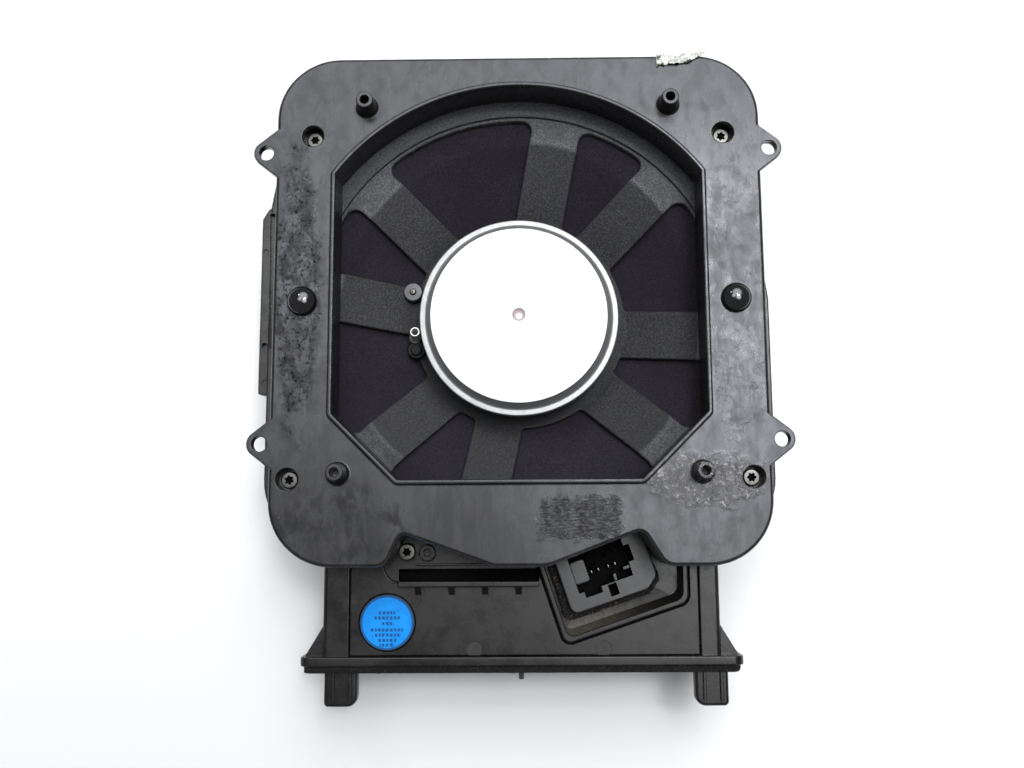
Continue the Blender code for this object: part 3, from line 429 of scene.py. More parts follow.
# --- materials -----------------------------------------------------------------------------
class Look:
    """A Principled material built from nodes, with short names for what the looks share."""

    def __init__(self, name, roughness=0.5, metallic=0.0, specular=0.5):
        self.material = bpy.data.materials.new(name)
        self.material.use_nodes = True
        self.tree = self.material.node_tree
        self.shader = self.tree.nodes["Principled BSDF"]
        self.shader.inputs["Metallic"].default_value = metallic
        self.shader.inputs["Specular IOR Level"].default_value = specular
        self.set("Roughness", roughness)
        self.place = self.node("ShaderNodeTexCoord").outputs["Object"]

    def node(self, kind, inputs=None, **settings):
        made = self.tree.nodes.new(kind)
        for key, value in settings.items():
            setattr(made, key, value)
        for key, value in (inputs or {}).items():
            self.feed(made.inputs[key], value)
        return made

    def feed(self, socket, value):
        if isinstance(value, bpy.types.NodeSocket):
            self.tree.links.new(value, socket)
        elif isinstance(value, tuple) and len(value) == 3 and socket.type == "RGBA":
            socket.default_value = (*value, 1.0)
        else:
            socket.default_value = value

    def set(self, name, value):
        self.feed(self.shader.inputs[name], value)

    def noise(self, size, detail=4.0, roughness=0.55, distortion=0.0, stretch=None):
        """Noise whose features are about size metres across."""
        place = self.place
        if stretch:
            place = self.node("ShaderNodeMapping", {"Vector": place, "Scale": stretch}).outputs[0]
        return self.node("ShaderNodeTexNoise", {
            "Vector": place, "Scale": 1.0 / size, "Detail": detail, "Roughness": roughness,
            "Distortion": distortion}).outputs["Fac"]

    def cells(self, size):
        return self.node("ShaderNodeTexVoronoi", {
            "Vector": self.place, "Scale": 1.0 / size}).outputs["Distance"]

    def ramp(self, value, low, high, to_low=0.0, to_high=1.0):
        """Map low..high to to_low..to_high, clamped and smooth."""
        return self.node("ShaderNodeMapRange", {
            "Value": value, "From Min": low, "From Max": high, "To Min": to_low,
            "To Max": to_high}, interpolation_type="SMOOTHSTEP").outputs[0]

    def sum(self, *values):
        total = values[0]
        for value in values[1:]:
            total = self.math("ADD", total, value)
        return total

    def times(self, a, b):
        return self.math("MULTIPLY", a, b)

    def specks(self, spacing, outside, inside, cluster, low, high):
        """1 in small round specks, which only show where a coarser noise is high."""
        return self.times(self.ramp(self.cells(spacing), outside, inside),
                          self.ramp(self.noise(cluster), low, high))

    def axis(self, index):
        """One coordinate of the shaded point: 0 for X, 1 for Y, 2 for Z."""
        return self.node("ShaderNodeSeparateXYZ", {0: self.place}).outputs[index]

    def from_axis(self, x, y, half_x=1.0, half_y=1.0):
        """Distance from a vertical axis, measured in half widths along X and Y."""
        moved = self.node("ShaderNodeVectorMath", {0: self.place, 1: (-x, -y, 0.0)}, operation="ADD")
        flat = self.node("ShaderNodeVectorMath", {0: moved.outputs[0], 1: (1 / half_x, 1 / half_y, 0.0)},
                         operation="MULTIPLY")
        return self.node("ShaderNodeVectorMath", {0: flat.outputs[0]}, operation="LENGTH").outputs["Value"]

    def math(self, operation, a, b=0.0):
        made = self.node("ShaderNodeMath", operation=operation)
        self.feed(made.inputs[0], a)
        self.feed(made.inputs[1], b)
        return made.outputs[0]

    def mix(self, factor, a, b):
        made = self.node("ShaderNodeMix", data_type="RGBA")
        self.feed(made.inputs[0], factor)
        self.feed(made.inputs[6], a)
        self.feed(made.inputs[7], b)
        return made.outputs[2]

    def patch(self, x, y, half_x, half_y, ragged, size):
        """1 inside a ragged ellipse, 0 outside."""
        length = self.from_axis(x, y, half_x, half_y)
        edge = self.sum(length, self.times(self.noise(size), 2 * ragged))
        return self.ramp(edge, 1.0 + ragged, 0.7 + ragged)

    def slab(self, x, y, half_x, half_y, ragged):
        """1 inside a rectangle with a ragged edge, 0 outside."""
        over = []
        for index, centre, half in ((0, x, half_x), (1, y, half_y)):
            reach = self.math("ABSOLUTE", self.math("SUBTRACT", self.axis(index), centre))
            over.append(self.math("SUBTRACT", reach, half))
        edge = self.math("MAXIMUM", *over)
        wander = self.times(self.noise(0.005, 6.0, 0.7), 2 * ragged)
        return self.ramp(self.sum(edge, wander), ragged * 1.35, ragged * 0.75)

    def bump(self, height, distance, strength=1.0, normal=None):
        inputs = {"Height": height, "Distance": distance, "Strength": strength}
        if normal is not None:
            inputs["Normal"] = normal
        return self.node("ShaderNodeBump", inputs).outputs[0]

    def edges(self, radius):
        """A normal that rounds hard edges a little."""
        return self.node("ShaderNodeBevel", {"Radius": radius}, samples=4).outputs[0]


def frame_plastic():
    """Satin black moulding, handled and stained, with scraped glue and a wrinkled film; painted shade
    darkens the lower-left corner, the film's light flecks are partly painted glints and the reflection has a
    bluish painted tint.
    """
    look = Look("frame_plastic")
    cloud = look.noise(0.040, 9.0, 0.62, 0.5)
    mottle = look.noise(0.0070, 9.0, 0.74, 0.3, (1.0, 0.6, 1.0))
    speck = look.noise(0.0016, 5.0, 0.75, 0.6)
    streak = look.noise(0.0045, 6.0, 0.65, 0.4, (1.0, 0.12, 1.0))
    left = look.patch(-0.1035, 0.010, 0.0120, 0.0800, 0.45, 0.010)
    right = look.patch(0.1005, 0.004, 0.0190, 0.0700, 0.35, 0.014)
    # corner: a painted shade patch at the frame's lower-left corner
    corner = look.patch(-0.080, -0.100, 0.040, 0.022, 0.45, 0.020)
    film = look.patch(0.0850, -0.0800, 0.0300, 0.0135, 0.50, 0.007)
    glue = look.slab(0.0275, -0.0965, 0.0175, 0.0085, 0.0070)
    base = look.mix(look.ramp(cloud, 0.34, 0.66), (0.0075, 0.0073, 0.0078), (0.0200, 0.0198, 0.0206))
    base = look.mix(look.ramp(mottle, 0.40, 0.70, 0.0, 0.6), base, (0.0035, 0.0034, 0.0036))
    # grime: real grime on the left strip together with painted shade in the lower-left corner; it darkens
    # the colour here and the reflection further down
    grime = look.times(look.math("MAXIMUM", left, corner), look.ramp(mottle, 0.42, 0.60))
    base = look.mix(look.times(grime, 0.75), base, (0.0035, 0.0034, 0.0037))
    dots = look.times(left, look.ramp(speck, 0.53, 0.60))
    base = look.mix(look.times(dots, 0.8), base, (0.0015, 0.0015, 0.0017))
    scrape = look.noise(0.0013, 5.0, 0.75, 0.8, (0.45, 1.5, 1.0))
    scraped = look.times(glue, look.ramp(scrape, 0.46, 0.56, 0.0, 0.85))
    base = look.mix(look.times(scraped, 0.8), base, (0.0040, 0.0036, 0.0036))
    crumple = look.noise(0.0030, 8.0, 0.72, 1.6)
    # Light flecks on the film: the film's own residue tone together with painted glints from its crumples
    fleck_and_glint = look.times(film, look.ramp(crumple, 0.55, 0.63))
    base = look.mix(look.times(fleck_and_glint, 0.8), base, (0.34, 0.31, 0.28))
    dust = look.specks(0.011, 0.050, 0.028, 0.016, 0.62, 0.66)
    base = look.mix(dust, base, (0.42, 0.41, 0.39))
    look.set("Base Color", base)
    rough = look.sum(look.ramp(cloud, 0.34, 0.66, 0.24, 0.32), look.ramp(mottle, 0.36, 0.70, -0.02, 0.06),
                     look.ramp(streak, 0.35, 0.70, -0.03, 0.06), look.times(grime, 0.12),
                     look.times(dots, 0.20), look.times(scraped, 0.22),
                     look.times(film, -0.04))
    look.set("Roughness", rough)
    normal = look.edges(0.0003)
    normal = look.bump(speck, 0.00003, 0.35, normal)
    wrinkle = look.noise(0.0055, 9.0, 0.66, 1.4)
    normal = look.bump(look.times(right, wrinkle), 0.00035, 0.6, normal)
    normal = look.bump(look.times(glue, scrape), 0.00035, 0.7, normal)
    normal = look.bump(look.times(film, crumple), 0.00028, 0.7, normal)
    look.set("Normal", normal)
    # Reflection strength; the grime mask lowers it, and in the lower-left corner that is painted shade
    shine = look.sum(look.ramp(mottle, 0.38, 0.68, 0.53, 0.42), look.times(dots, -0.28),
                     look.times(grime, -0.15), look.times(scraped, -0.22))
    look.set("Specular IOR Level", look.math("MAXIMUM", shine, 0.05))
    # Bluish specular tint: the blue of the reflected light painted into the frame's reflection
    look.set("Specular Tint", (0.94, 0.94, 1.0, 1.0))
    return look.material


def housing_plastic():
    """Warmer, darker moulding of the tub and the duct."""
    look = Look("housing_plastic", 0.4, 0.0, 0.35)
    cloud = look.noise(0.030, 8.0, 0.62, 0.5)
    mottle = look.noise(0.008, 8.0, 0.70, 0.3)
    streak = look.noise(0.0050, 6.0, 0.65, 0.6, (0.15, 1.0, 1.0))
    base = look.mix(look.ramp(cloud, 0.35, 0.68), (0.0070, 0.0060, 0.0062), (0.0150, 0.0130, 0.0132))
    base = look.mix(look.ramp(mottle, 0.46, 0.66, 0.0, 0.7), base, (0.0035, 0.0030, 0.0031))
    base = look.mix(look.ramp(streak, 0.58, 0.74, 0.0, 0.25), base, (0.040, 0.036, 0.034))
    dust = look.specks(0.009, 0.045, 0.025, 0.013, 0.63, 0.67)
    look.set("Base Color", look.mix(dust, base, (0.36, 0.34, 0.31)))
    look.set("Roughness", look.sum(look.ramp(cloud, 0.30, 0.70, 0.24, 0.34),
                                   look.ramp(mottle, 0.40, 0.70, -0.03, 0.08)))
    normal = look.bump(look.noise(0.0009, 3.0), 0.00003, 0.4, look.edges(0.0003))
    look.set("Normal", look.bump(look.noise(0.012, 5.0), 0.00012, 0.4, normal))
    return look.material


def basket_plastic(name="basket_plastic", wear_and_light_amount=1.0):
    """Coarse spark-eroded grain; lighter beyond the bend from wear and painted light, with a painted
    highlight along the bend, painted shadow round the motor and painted light and shade from far to near
    side.
    """
    look = Look(name, 0.6, 0.0, 0.35)
    grain = look.noise(0.00090, 4.0, 0.80)
    coarse = look.noise(0.0100, 6.0, 0.65)
    distance = look.from_axis(0.0, 0.0)
    base = look.mix(look.ramp(grain, 0.40, 0.66), (0.0080, 0.0078, 0.0095), (0.0560, 0.0560, 0.0640))
    # Lighter beyond the bend: grainy wear together with painted light on the flat rim that faces up
    wear_and_light = look.ramp(distance, BEND_R - 0.0010, BEND_R + 0.0010)
    wear_and_light = look.times(wear_and_light, look.ramp(grain, 0.42, 0.60, 0.15, 0.9))
    wear_and_light = look.times(wear_and_light, look.ramp(coarse, 0.35, 0.65, 0.4, wear_and_light_amount))
    base = look.mix(wear_and_light, base, (0.120, 0.123, 0.132))
    # Painted highlight: a lighter line along the bend
    bend = look.times(look.ramp(distance, BEND_R - 0.0016, BEND_R - 0.0002),
                     look.ramp(distance, BEND_R + 0.0020, BEND_R + 0.0004))
    base = look.mix(look.times(bend, look.ramp(grain, 0.44, 0.60, 0.1, 0.7)), base,
                    (0.125, 0.128, 0.135))
    bead = look.times(look.ramp(distance, HUB_R - 0.0004, HUB_R + 0.0006),
                     look.ramp(distance, HUB_R + 0.0026, HUB_R + 0.0014))
    bead = look.times(bead, look.ramp(coarse, 0.48, 0.58))
    base = look.mix(look.times(bead, look.ramp(grain, 0.45, 0.60, 0.1, 0.7)), base,
                    (0.070, 0.070, 0.070))
    # Painted shadow of the motor: darker close round it, more on its left side
    hub = look.ramp(look.from_axis(-0.004, 0.0), 0.058, 0.047, 0.0, 0.65)
    base = look.mix(hub, base, (0.0040, 0.0040, 0.0048))
    # Painted shade towards the near side (-Y) and painted light towards the far side (+Y)
    across = look.axis(1)
    base = look.mix(look.ramp(across, 0.020, -0.090, 0.0, 0.35), base, (0.0060, 0.0060, 0.0070))
    base = look.mix(look.ramp(across, 0.030, 0.090, 0.0, 0.10), base, (0.150, 0.150, 0.170))
    look.set("Base Color", base)
    look.set("Roughness", look.ramp(grain, 0.35, 0.65, 0.42, 0.66))
    normal = look.bump(grain, 0.00030, 1.0, look.edges(0.0004))
    look.set("Normal", look.bump(look.noise(0.0014, 3.0), 0.00012, 0.5, normal))
    return look.material


def foam(name, spark_tone):
    """Open-cell foam with bright specks."""
    look = Look(name, 0.9, 0.0, 0.3)
    cell = look.cells(0.0009)
    pore = look.noise(0.0009, 5.0, 0.75)
    base = look.mix(look.ramp(cell, 0.15, 0.55), (0.0015, 0.0014, 0.0014), (0.0065, 0.0058, 0.0058))
    spark = look.times(look.ramp(pore, 0.57, 0.63), look.ramp(cell, 0.25, 0.50))
    look.set("Base Color", look.mix(spark, base, spark_tone))
    normal = look.bump(cell, 0.0005, 1.0)
    look.set("Normal", look.bump(pore, 0.0003, 0.8, normal))
    return look.material


def black_cloth():
    """Fine non-woven black cloth with a little lint."""
    look = Look("black_cloth", 0.92, 0.0, 0.2)
    fibre = look.noise(0.0006, 5.0, 0.75, 1.2)
    warp, weft = (look.node("ShaderNodeTexWave", {
        "Vector": look.place, "Scale": 420.0, "Distortion": 1.5, "Detail": 2.0},
        bands_direction=bands).outputs["Fac"] for bands in "XY")
    weave = look.times(warp, weft)
    cloud = look.noise(0.030, 6.0, 0.6)
    base = look.mix(look.ramp(fibre, 0.38, 0.68), (0.0080, 0.0066, 0.0105), (0.0330, 0.0290, 0.0400))
    base = look.mix(look.ramp(cloud, 0.35, 0.65, 0.35, 0.0), base, (0.0070, 0.0060, 0.0080))
    lint = look.specks(0.007, 0.040, 0.025, 0.010, 0.60, 0.64)
    look.set("Base Color", look.mix(lint, base, (0.35, 0.33, 0.33)))
    look.set("Sheen Weight", 0.12)
    look.set("Sheen Roughness", 0.5)
    look.set("Sheen Tint", (0.5, 0.46, 0.54, 1.0))
    normal = look.bump(weave, 0.00008, 0.7)
    look.set("Normal", look.bump(fibre, 0.00012, 0.8, normal))
    return look.material


def bumper_rubber():
    """Polished black dome."""
    look = Look("bumper_rubber", 0.06, 0.0, 0.7)
    smear = look.noise(0.004, 5.0, 0.6)
    look.set("Base Color", look.mix(smear, (0.003, 0.003, 0.0035), (0.007, 0.007, 0.008)))
    look.set("Roughness", look.ramp(smear, 0.4, 0.7, 0.02, 0.05))
    look.set("Coat Weight", 0.4)
    look.set("Coat Roughness", 0.02)
    look.set("Normal", look.bump(smear, 0.00002, 0.2))
    return look.material


def yoke_metal():
    """Plated cup: a disc given a near-white diffuse colour as a painted reflection, a turned step round it
    darkened as painted shade, and a grey ring.
    """
    look = Look("yoke_metal", 0.35)
    distance = look.from_axis(0.0, 0.0)
    turned = look.node("ShaderNodeTexNoise", {
        "Vector": look.node("ShaderNodeCombineXYZ", {"X": distance}).outputs[0], "Scale": 9000.0,
        "Detail": 2.0}).outputs["Fac"]
    stain = look.noise(0.005, 6.0, 0.65, 0.6)
    outside = look.ramp(distance, PLATEAU_R + 0.0002, PLATEAU_R + 0.0006)
    ring = look.ramp(distance, PLATEAU_R + STEP_WIDTH - 0.0006, PLATEAU_R + STEP_WIDTH)
    # Painted reflection: near-white, almost non-metallic colour stands in for the plated disc's bright
    # reflection of the light overhead
    disc = look.mix(look.ramp(stain, 0.2, 0.8), (0.95, 0.95, 0.95), (0.985, 0.985, 0.985))
    # Painted shade: the turned step's sloping wall between the ring and the disc is coloured dark
    step = look.mix(look.ramp(turned, 0.3, 0.7), (0.120, 0.122, 0.130), (0.240, 0.242, 0.250))
    band = look.mix(look.ramp(stain, 0.35, 0.68), (0.30, 0.30, 0.302), (0.42, 0.42, 0.415))
    base = look.mix(outside, disc, look.mix(ring, step, band))
    dimple = look.ramp(distance, 0.0034, 0.0030)
    # Painted highlight: a bright spot in the dimple, a little below its centre
    shine = look.ramp(look.from_axis(0.0002, -0.0006), 0.0021, 0.0006)
    base = look.mix(dimple, base, look.mix(shine, (0.44, 0.35, 0.37), (0.95, 0.90, 0.86)))
    dot = look.specks(0.008, 0.030, 0.020, 0.011, 0.64, 0.66)
    look.set("Base Color", look.mix(dot, base, (0.30, 0.28, 0.26)))
    look.set("Metallic", look.ramp(outside, 0.0, 1.0, 0.05, 0.35))
    look.set("Roughness", look.ramp(stain, 0.3, 0.7, 0.32, 0.46))
    look.set("Normal", look.bump(turned, 0.00001, 0.3))
    return look.material


def metal(name, colour, roughness, wear=0.3, metallic=0.9):
    """Bare or plated metal with soft tarnish and fine scratches."""
    look = Look(name, roughness, metallic)
    blotch = look.noise(0.0020, 4.0, 0.6)
    dark = tuple(part * (1 - wear) for part in colour)
    look.set("Base Color", look.mix(look.ramp(blotch, 0.35, 0.65), dark, colour))
    look.set("Roughness", look.ramp(blotch, 0.3, 0.7, roughness * 0.85, roughness * 1.20))
    look.set("Normal", look.bump(look.noise(0.0004, 2.0), 0.000004, 0.4))
    return look.material


def plain(name, dark, light, roughness, size=0.004, depth=0.00003, specular=0.5):
    """A moulded or pressed material whose tone and roughness vary a little."""
    look = Look(name, roughness, 0.0, specular)
    cloud = look.noise(size, 6.0, 0.65, 0.4)
    grain = look.noise(size / 8, 4.0, 0.6)
    look.set("Base Color", look.mix(look.ramp(cloud, 0.3, 0.7), dark, light))
    look.set("Roughness", look.ramp(grain, 0.3, 0.7, roughness * 0.80, roughness * 1.20))
    look.set("Normal", look.bump(grain, depth, 0.7, look.edges(0.0002)))
    return look.material


def pocket_painted_light_shade():
    """Plastic of the socket's pocket with blotchy painted light on its left part, fading into painted shade
    towards its right end.
    """
    look = Look("pocket_painted_light_shade", 0.5, 0.0, 0.35)
    wander = look.times(look.noise(0.006, 6.0), 0.012)
    # Blotchy lit tone: painted light on the pocket's left part; the shade ramp below fades it into painted
    # shade at the right end
    dust = look.ramp(look.noise(0.0014, 5.0), 0.35, 0.65)
    lit_blotches = look.mix(dust, (0.050, 0.045, 0.036), (0.095, 0.088, 0.072))
    shade = look.ramp(look.sum(look.axis(0), wander), 0.030, 0.076, 0.0, 0.92)
    look.set("Base Color", look.mix(shade, lit_blotches, (0.0030, 0.0028, 0.0030)))
    look.set("Roughness", look.ramp(look.noise(0.004), 0.3, 0.7, 0.42, 0.60))
    return look.material


def label_print():
    """Blue sticker with rows of short plain bars and a darker printed edge."""
    look = Look("label_print", 0.38, 0.0, 0.15)
    x, y = LABEL_AT
    distance = look.from_axis(x, y)
    across = look.math("SUBTRACT", look.axis(0), x)
    up = look.math("SUBTRACT", look.axis(1), y)
    ink = None
    for height, half in ((0.0046, 0.0040), (0.0022, 0.0066), (-0.0004, 0.0028), (-0.0034, 0.0078),
                         (-0.0058, 0.0070), (-0.0082, 0.0048), (-0.0104, 0.0036)):
        band = look.ramp(look.math("ABSOLUTE", look.math("SUBTRACT", up, height)), 0.00085, 0.00060)
        reach = look.ramp(look.math("ABSOLUTE", across), half, half - 0.0003)
        bar = look.times(band, reach)
        ink = bar if ink is None else look.math("MAXIMUM", ink, bar)
    comb = look.node("ShaderNodeTexWave", {"Vector": look.place, "Scale": 170.0, "Distortion": 3.0,
                                           "Detail": 1.0, "Detail Scale": 2.0},
                     bands_direction="X").outputs["Fac"]
    ink = look.times(ink, look.ramp(comb, 0.30, 0.50, 0.15, 0.85))
    cloud = look.ramp(look.noise(0.006, 5.0), 0.3, 0.7)
    tone = look.mix(cloud, (0.0020, 0.215, 0.69), (0.0032, 0.275, 0.80))
    tone = look.mix(ink, tone, (0.006, 0.030, 0.110))
    edge = look.ramp(distance, LABEL_R - 0.0013, LABEL_R - 0.0008)
    look.set("Base Color", look.mix(edge, tone, (0.008, 0.08, 0.24)))
    look.set("Roughness", look.ramp(look.noise(0.003), 0.3, 0.7, 0.34, 0.48))
    look.set("Normal", look.bump(look.noise(0.0006, 3.0), 0.00002, 0.5))
    return look.material


def tape_film():
    """Torn clear film with whitish glue and grime."""
    look = Look("tape_film", 0.25)
    blotch = look.noise(0.0060, 5.0, 0.62, 1.2)
    grime = look.noise(0.0022, 5.0, 0.7, 1.5)
    base = look.mix(look.ramp(grime, 0.40, 0.60), (0.46, 0.47, 0.43), (0.80, 0.82, 0.80))
    base = look.mix(look.ramp(blotch, 0.55, 0.60), base, (0.060, 0.058, 0.030))
    look.set("Base Color", look.mix(look.ramp(grime, 0.60, 0.66), base, (0.012, 0.012, 0.010)))
    look.set("Normal", look.bump(grime, 0.0002, 0.5))
    look.set("Roughness", look.ramp(blotch, 0.3, 0.7, 0.15, 0.45))
    return look.material


LOOKS = {
    "frame": frame_plastic(),
    "housing": housing_plastic(),
    "basket": basket_plastic(),
    "gasket": basket_plastic("gasket_rubber", 0.5),
    "foam": foam("foam", (0.15, 0.10, 0.075)),
    "mouth_foam": foam("mouth_foam", (0.035, 0.034, 0.038)),
    "cloth": black_cloth(),
    "bumper": bumper_rubber(),
    "yoke": yoke_metal(),
    "steel": metal("screw_steel", (0.115, 0.114, 0.104), 0.34, 0.30),
    "washer": metal("washer_steel", (0.090, 0.090, 0.094), 0.45, 0.20),
    "solder": metal("soldered_tin", (0.62, 0.61, 0.58), 0.42, 0.25, 0.45),
    "contact": metal("contact_tin", (0.14, 0.135, 0.12), 0.35, 0.30),
    "copper": metal("copper", (0.72, 0.32, 0.16), 0.3, 0.3),
    "braid": metal("tinsel_braid", (0.70, 0.50, 0.20), 0.35, 0.4),
    "socket": plain("socket_plastic", (0.0100, 0.0100, 0.0108), (0.0210, 0.0210, 0.0220), 0.34),
    "boss": plain("boss_plastic", (0.002, 0.002, 0.0025), (0.004, 0.004, 0.0045), 0.8),
    "mark": plain("mark_plastic", (0.0030, 0.0028, 0.0030), (0.0070, 0.0065, 0.0068), 0.55),
    # Near black and barely reflecting: painted shade for deep recesses, grooves and the screws' star holes
    "recess": plain("recess_painted_shade", (0.0010, 0.0009, 0.0010), (0.0022, 0.0020, 0.0021), 0.75, 0.004,
                    0.00003, 0.06),
    "pocket": pocket_painted_light_shade(),
    "paper": plain("cone_paper", (0.022, 0.022, 0.023), (0.045, 0.045, 0.047), 0.85, 0.006, 0.0002),
    "rubber": plain("surround_rubber", (0.012, 0.012, 0.012), (0.020, 0.020, 0.020), 0.42, 0.010),
    "spider": plain("spider_cloth", (0.42, 0.28, 0.09), (0.62, 0.44, 0.17), 0.85, 0.003, 0.0002),
    "ferrite": plain("ferrite", (0.030, 0.030, 0.031), (0.055, 0.055, 0.057), 0.6, 0.003, 0.0001),
    "kapton": plain("coil_former", (0.36, 0.14, 0.03), (0.50, 0.22, 0.06), 0.4, 0.004),
    "sleeve": plain("wire_sleeve", (0.014, 0.014, 0.014), (0.024, 0.024, 0.024), 0.5, 0.003),
    "label": label_print(),
    "tape": tape_film(),
}


# --- outlines ------------------------------------------------------------------------------
def frame_outline():
    """The frame's edge: rounded corners and two notches with a tongue between them."""
    left_notch = [(-0.0612, BOTTOM_Y, 0.007), (-0.0544, -0.1033, 0.004), (-0.0120, BOTTOM_Y, 0.008)]
    right_notch = [(0.0124, BOTTOM_Y, 0.012), (0.0552, -0.1025, 0.004), (0.0655, BOTTOM_Y, 0.008)]
    return rounded([
        (-HALF_WIDTH, TOP_Y, CORNER_R), (-HALF_WIDTH, BOTTOM_Y, CORNER_R), *left_notch, *right_notch,
        (HALF_WIDTH, BOTTOM_Y, CORNER_R), (HALF_WIDTH, TOP_Y, CORNER_R)], math.radians(6))


def tab_outline(x, y):
    """An ear: a round tip whose tangent sides open towards the frame."""
    side = math.copysign(1, x)
    reach = 0.009
    slant = math.radians(TAB_SLANT)
    half = TAB_R / math.cos(slant) + reach * math.tan(slant)
    turn = 90 - TAB_SLANT
    tip = [polar(side * TAB_R, math.radians(d), x, y) for d in range(-turn, turn + 1, 4)]
    root = x - side * reach
    return [Vector((root, y + side * half)), Vector((root, y - side * half))] + tip


def opening_outline():
    """An arc round the driver, straight sides and two cut corners."""
    low = OPEN_Y + OPEN_CHAMFER
    inner = OPEN_X - OPEN_CHAMFER
    turn = 0.0016
    corners = [(-OPEN_X, low, turn), (-inner, OPEN_Y, turn), (inner, OPEN_Y, turn), (OPEN_X, low, turn)]
    start = math.acos(OPEN_X / OPEN_R)
    corners += [(*polar(OPEN_R, angle), 0) for angle in spread(start, math.pi - start, 72)]
    return rounded(corners, math.radians(15))


def divided(points, step):
    """The same outline with extra points along its long straight sides."""
    result = []
    for i, point in enumerate(points):
        after = points[(i + 1) % len(points)]
        parts = max(1, round((after - point).length / step))
        result += [point.lerp(after, k / parts) for k in range(parts)]
    return result


def window_outline(first, last):
    """A window between two spokes with parallel edges, given the spokes' angles in degrees."""
    inner, outer = WINDOW_R
    half = SPOKE_WIDTH / 2
    a0 = math.radians(first)
    a1 = math.radians(last)
    corners = []
    for radius, fillet, flip in ((outer, 0.0050, False), (inner, 0.0020, True)):
        start = a0 + math.asin(half / radius)
        end = a1 - math.asin(half / radius)
        parts = max(1, round((end - start) / math.radians(6)))
        arc = [(*polar(radius, angle), 0) for angle in spread(start, end, parts)]
        for end_point in (0, -1):
            arc[end_point] = (*arc[end_point][:2], fillet)
        corners += reversed(arc) if flip else arc
    return divided(rounded(corners, math.radians(12)), 0.0030)


def slanted(points):
    """Turn and move local points to the socket's place."""
    turn = Matrix.Rotation(PLUG_ANGLE, 2)
    return [turn @ Vector(p) + PLUG_AT for p in points]


def slanted_box(x0, x1, y0, y1, radius=0.0):
    return slanted(box_outline(x0, x1, y0, y1, radius))


def pocket_outline(grow, draft=0.0):
    """The cover's pocket for the socket, open towards the frame and drafted on two sides."""
    low = slanted([(POCKET_LEFT - grow, POCKET_LOW - grow + draft)])[0]
    top = slanted([(POCKET_LEFT - grow, POCKET_HIGH)])[0]
    right = POCKET_RIGHT + grow - draft / 2
    low_right = low.y + (right - low.x) * math.tan(PLUG_ANGLE)
    near = [(low.x, low.y, 0.004), (right, low_right, 0.005)]
    return rounded(near + [(right, top.y, 0.001), (top.x, top.y, 0.001)])


def wall_outline(grow=0.0):
    return offset(frame_outline(), grow - TUB_INSET)


def rim_outline():
    """The rim that shows beside the frame, slanted at its far ends."""
    left, right = RIM_X
    left_end, right_end = RIM_Y
    inside = HALF_WIDTH - 0.005
    slant_x = HALF_WIDTH + 0.0035
    slant_y = 0.0265
    return rounded([(-inside, left_end + slant_y, 0), (-slant_x, left_end + slant_y, 0),
                    (left, left_end, 0.004), (left, RIM_LOW, CORNER_R), (right, RIM_LOW, CORNER_R),
                    (right, right_end, 0.004), (slant_x, right_end + slant_y, 0),
                    (inside, right_end + slant_y, 0)])


def flange_outline(inset=0.0):
    z0, z1 = FLANGE_Z
    return box_outline(-FLANGE_X + inset, FLANGE_X - inset, z0 + inset, z1 - inset, 0.005)


def smooth_bend(value, bend, reach):
    """A ramp max(0, value - bend) whose corner is rounded over the reach on each side."""
    if value <= bend - reach:
        return 0.0
    if value >= bend + reach:
        return value - bend
    return (value - bend + reach) ** 2 / (4 * reach)


def basket_height(radius):
    """Level of the basket's outer face: flat hub, slope, flat rim."""
    slope = (BASKET_TOP - HUB_TOP) / (BEND_R - HUB_R)
    rise = smooth_bend(radius, HUB_R, 0.0020) - smooth_bend(radius, BEND_R, 0.0012)
    return HUB_TOP + slope * rise


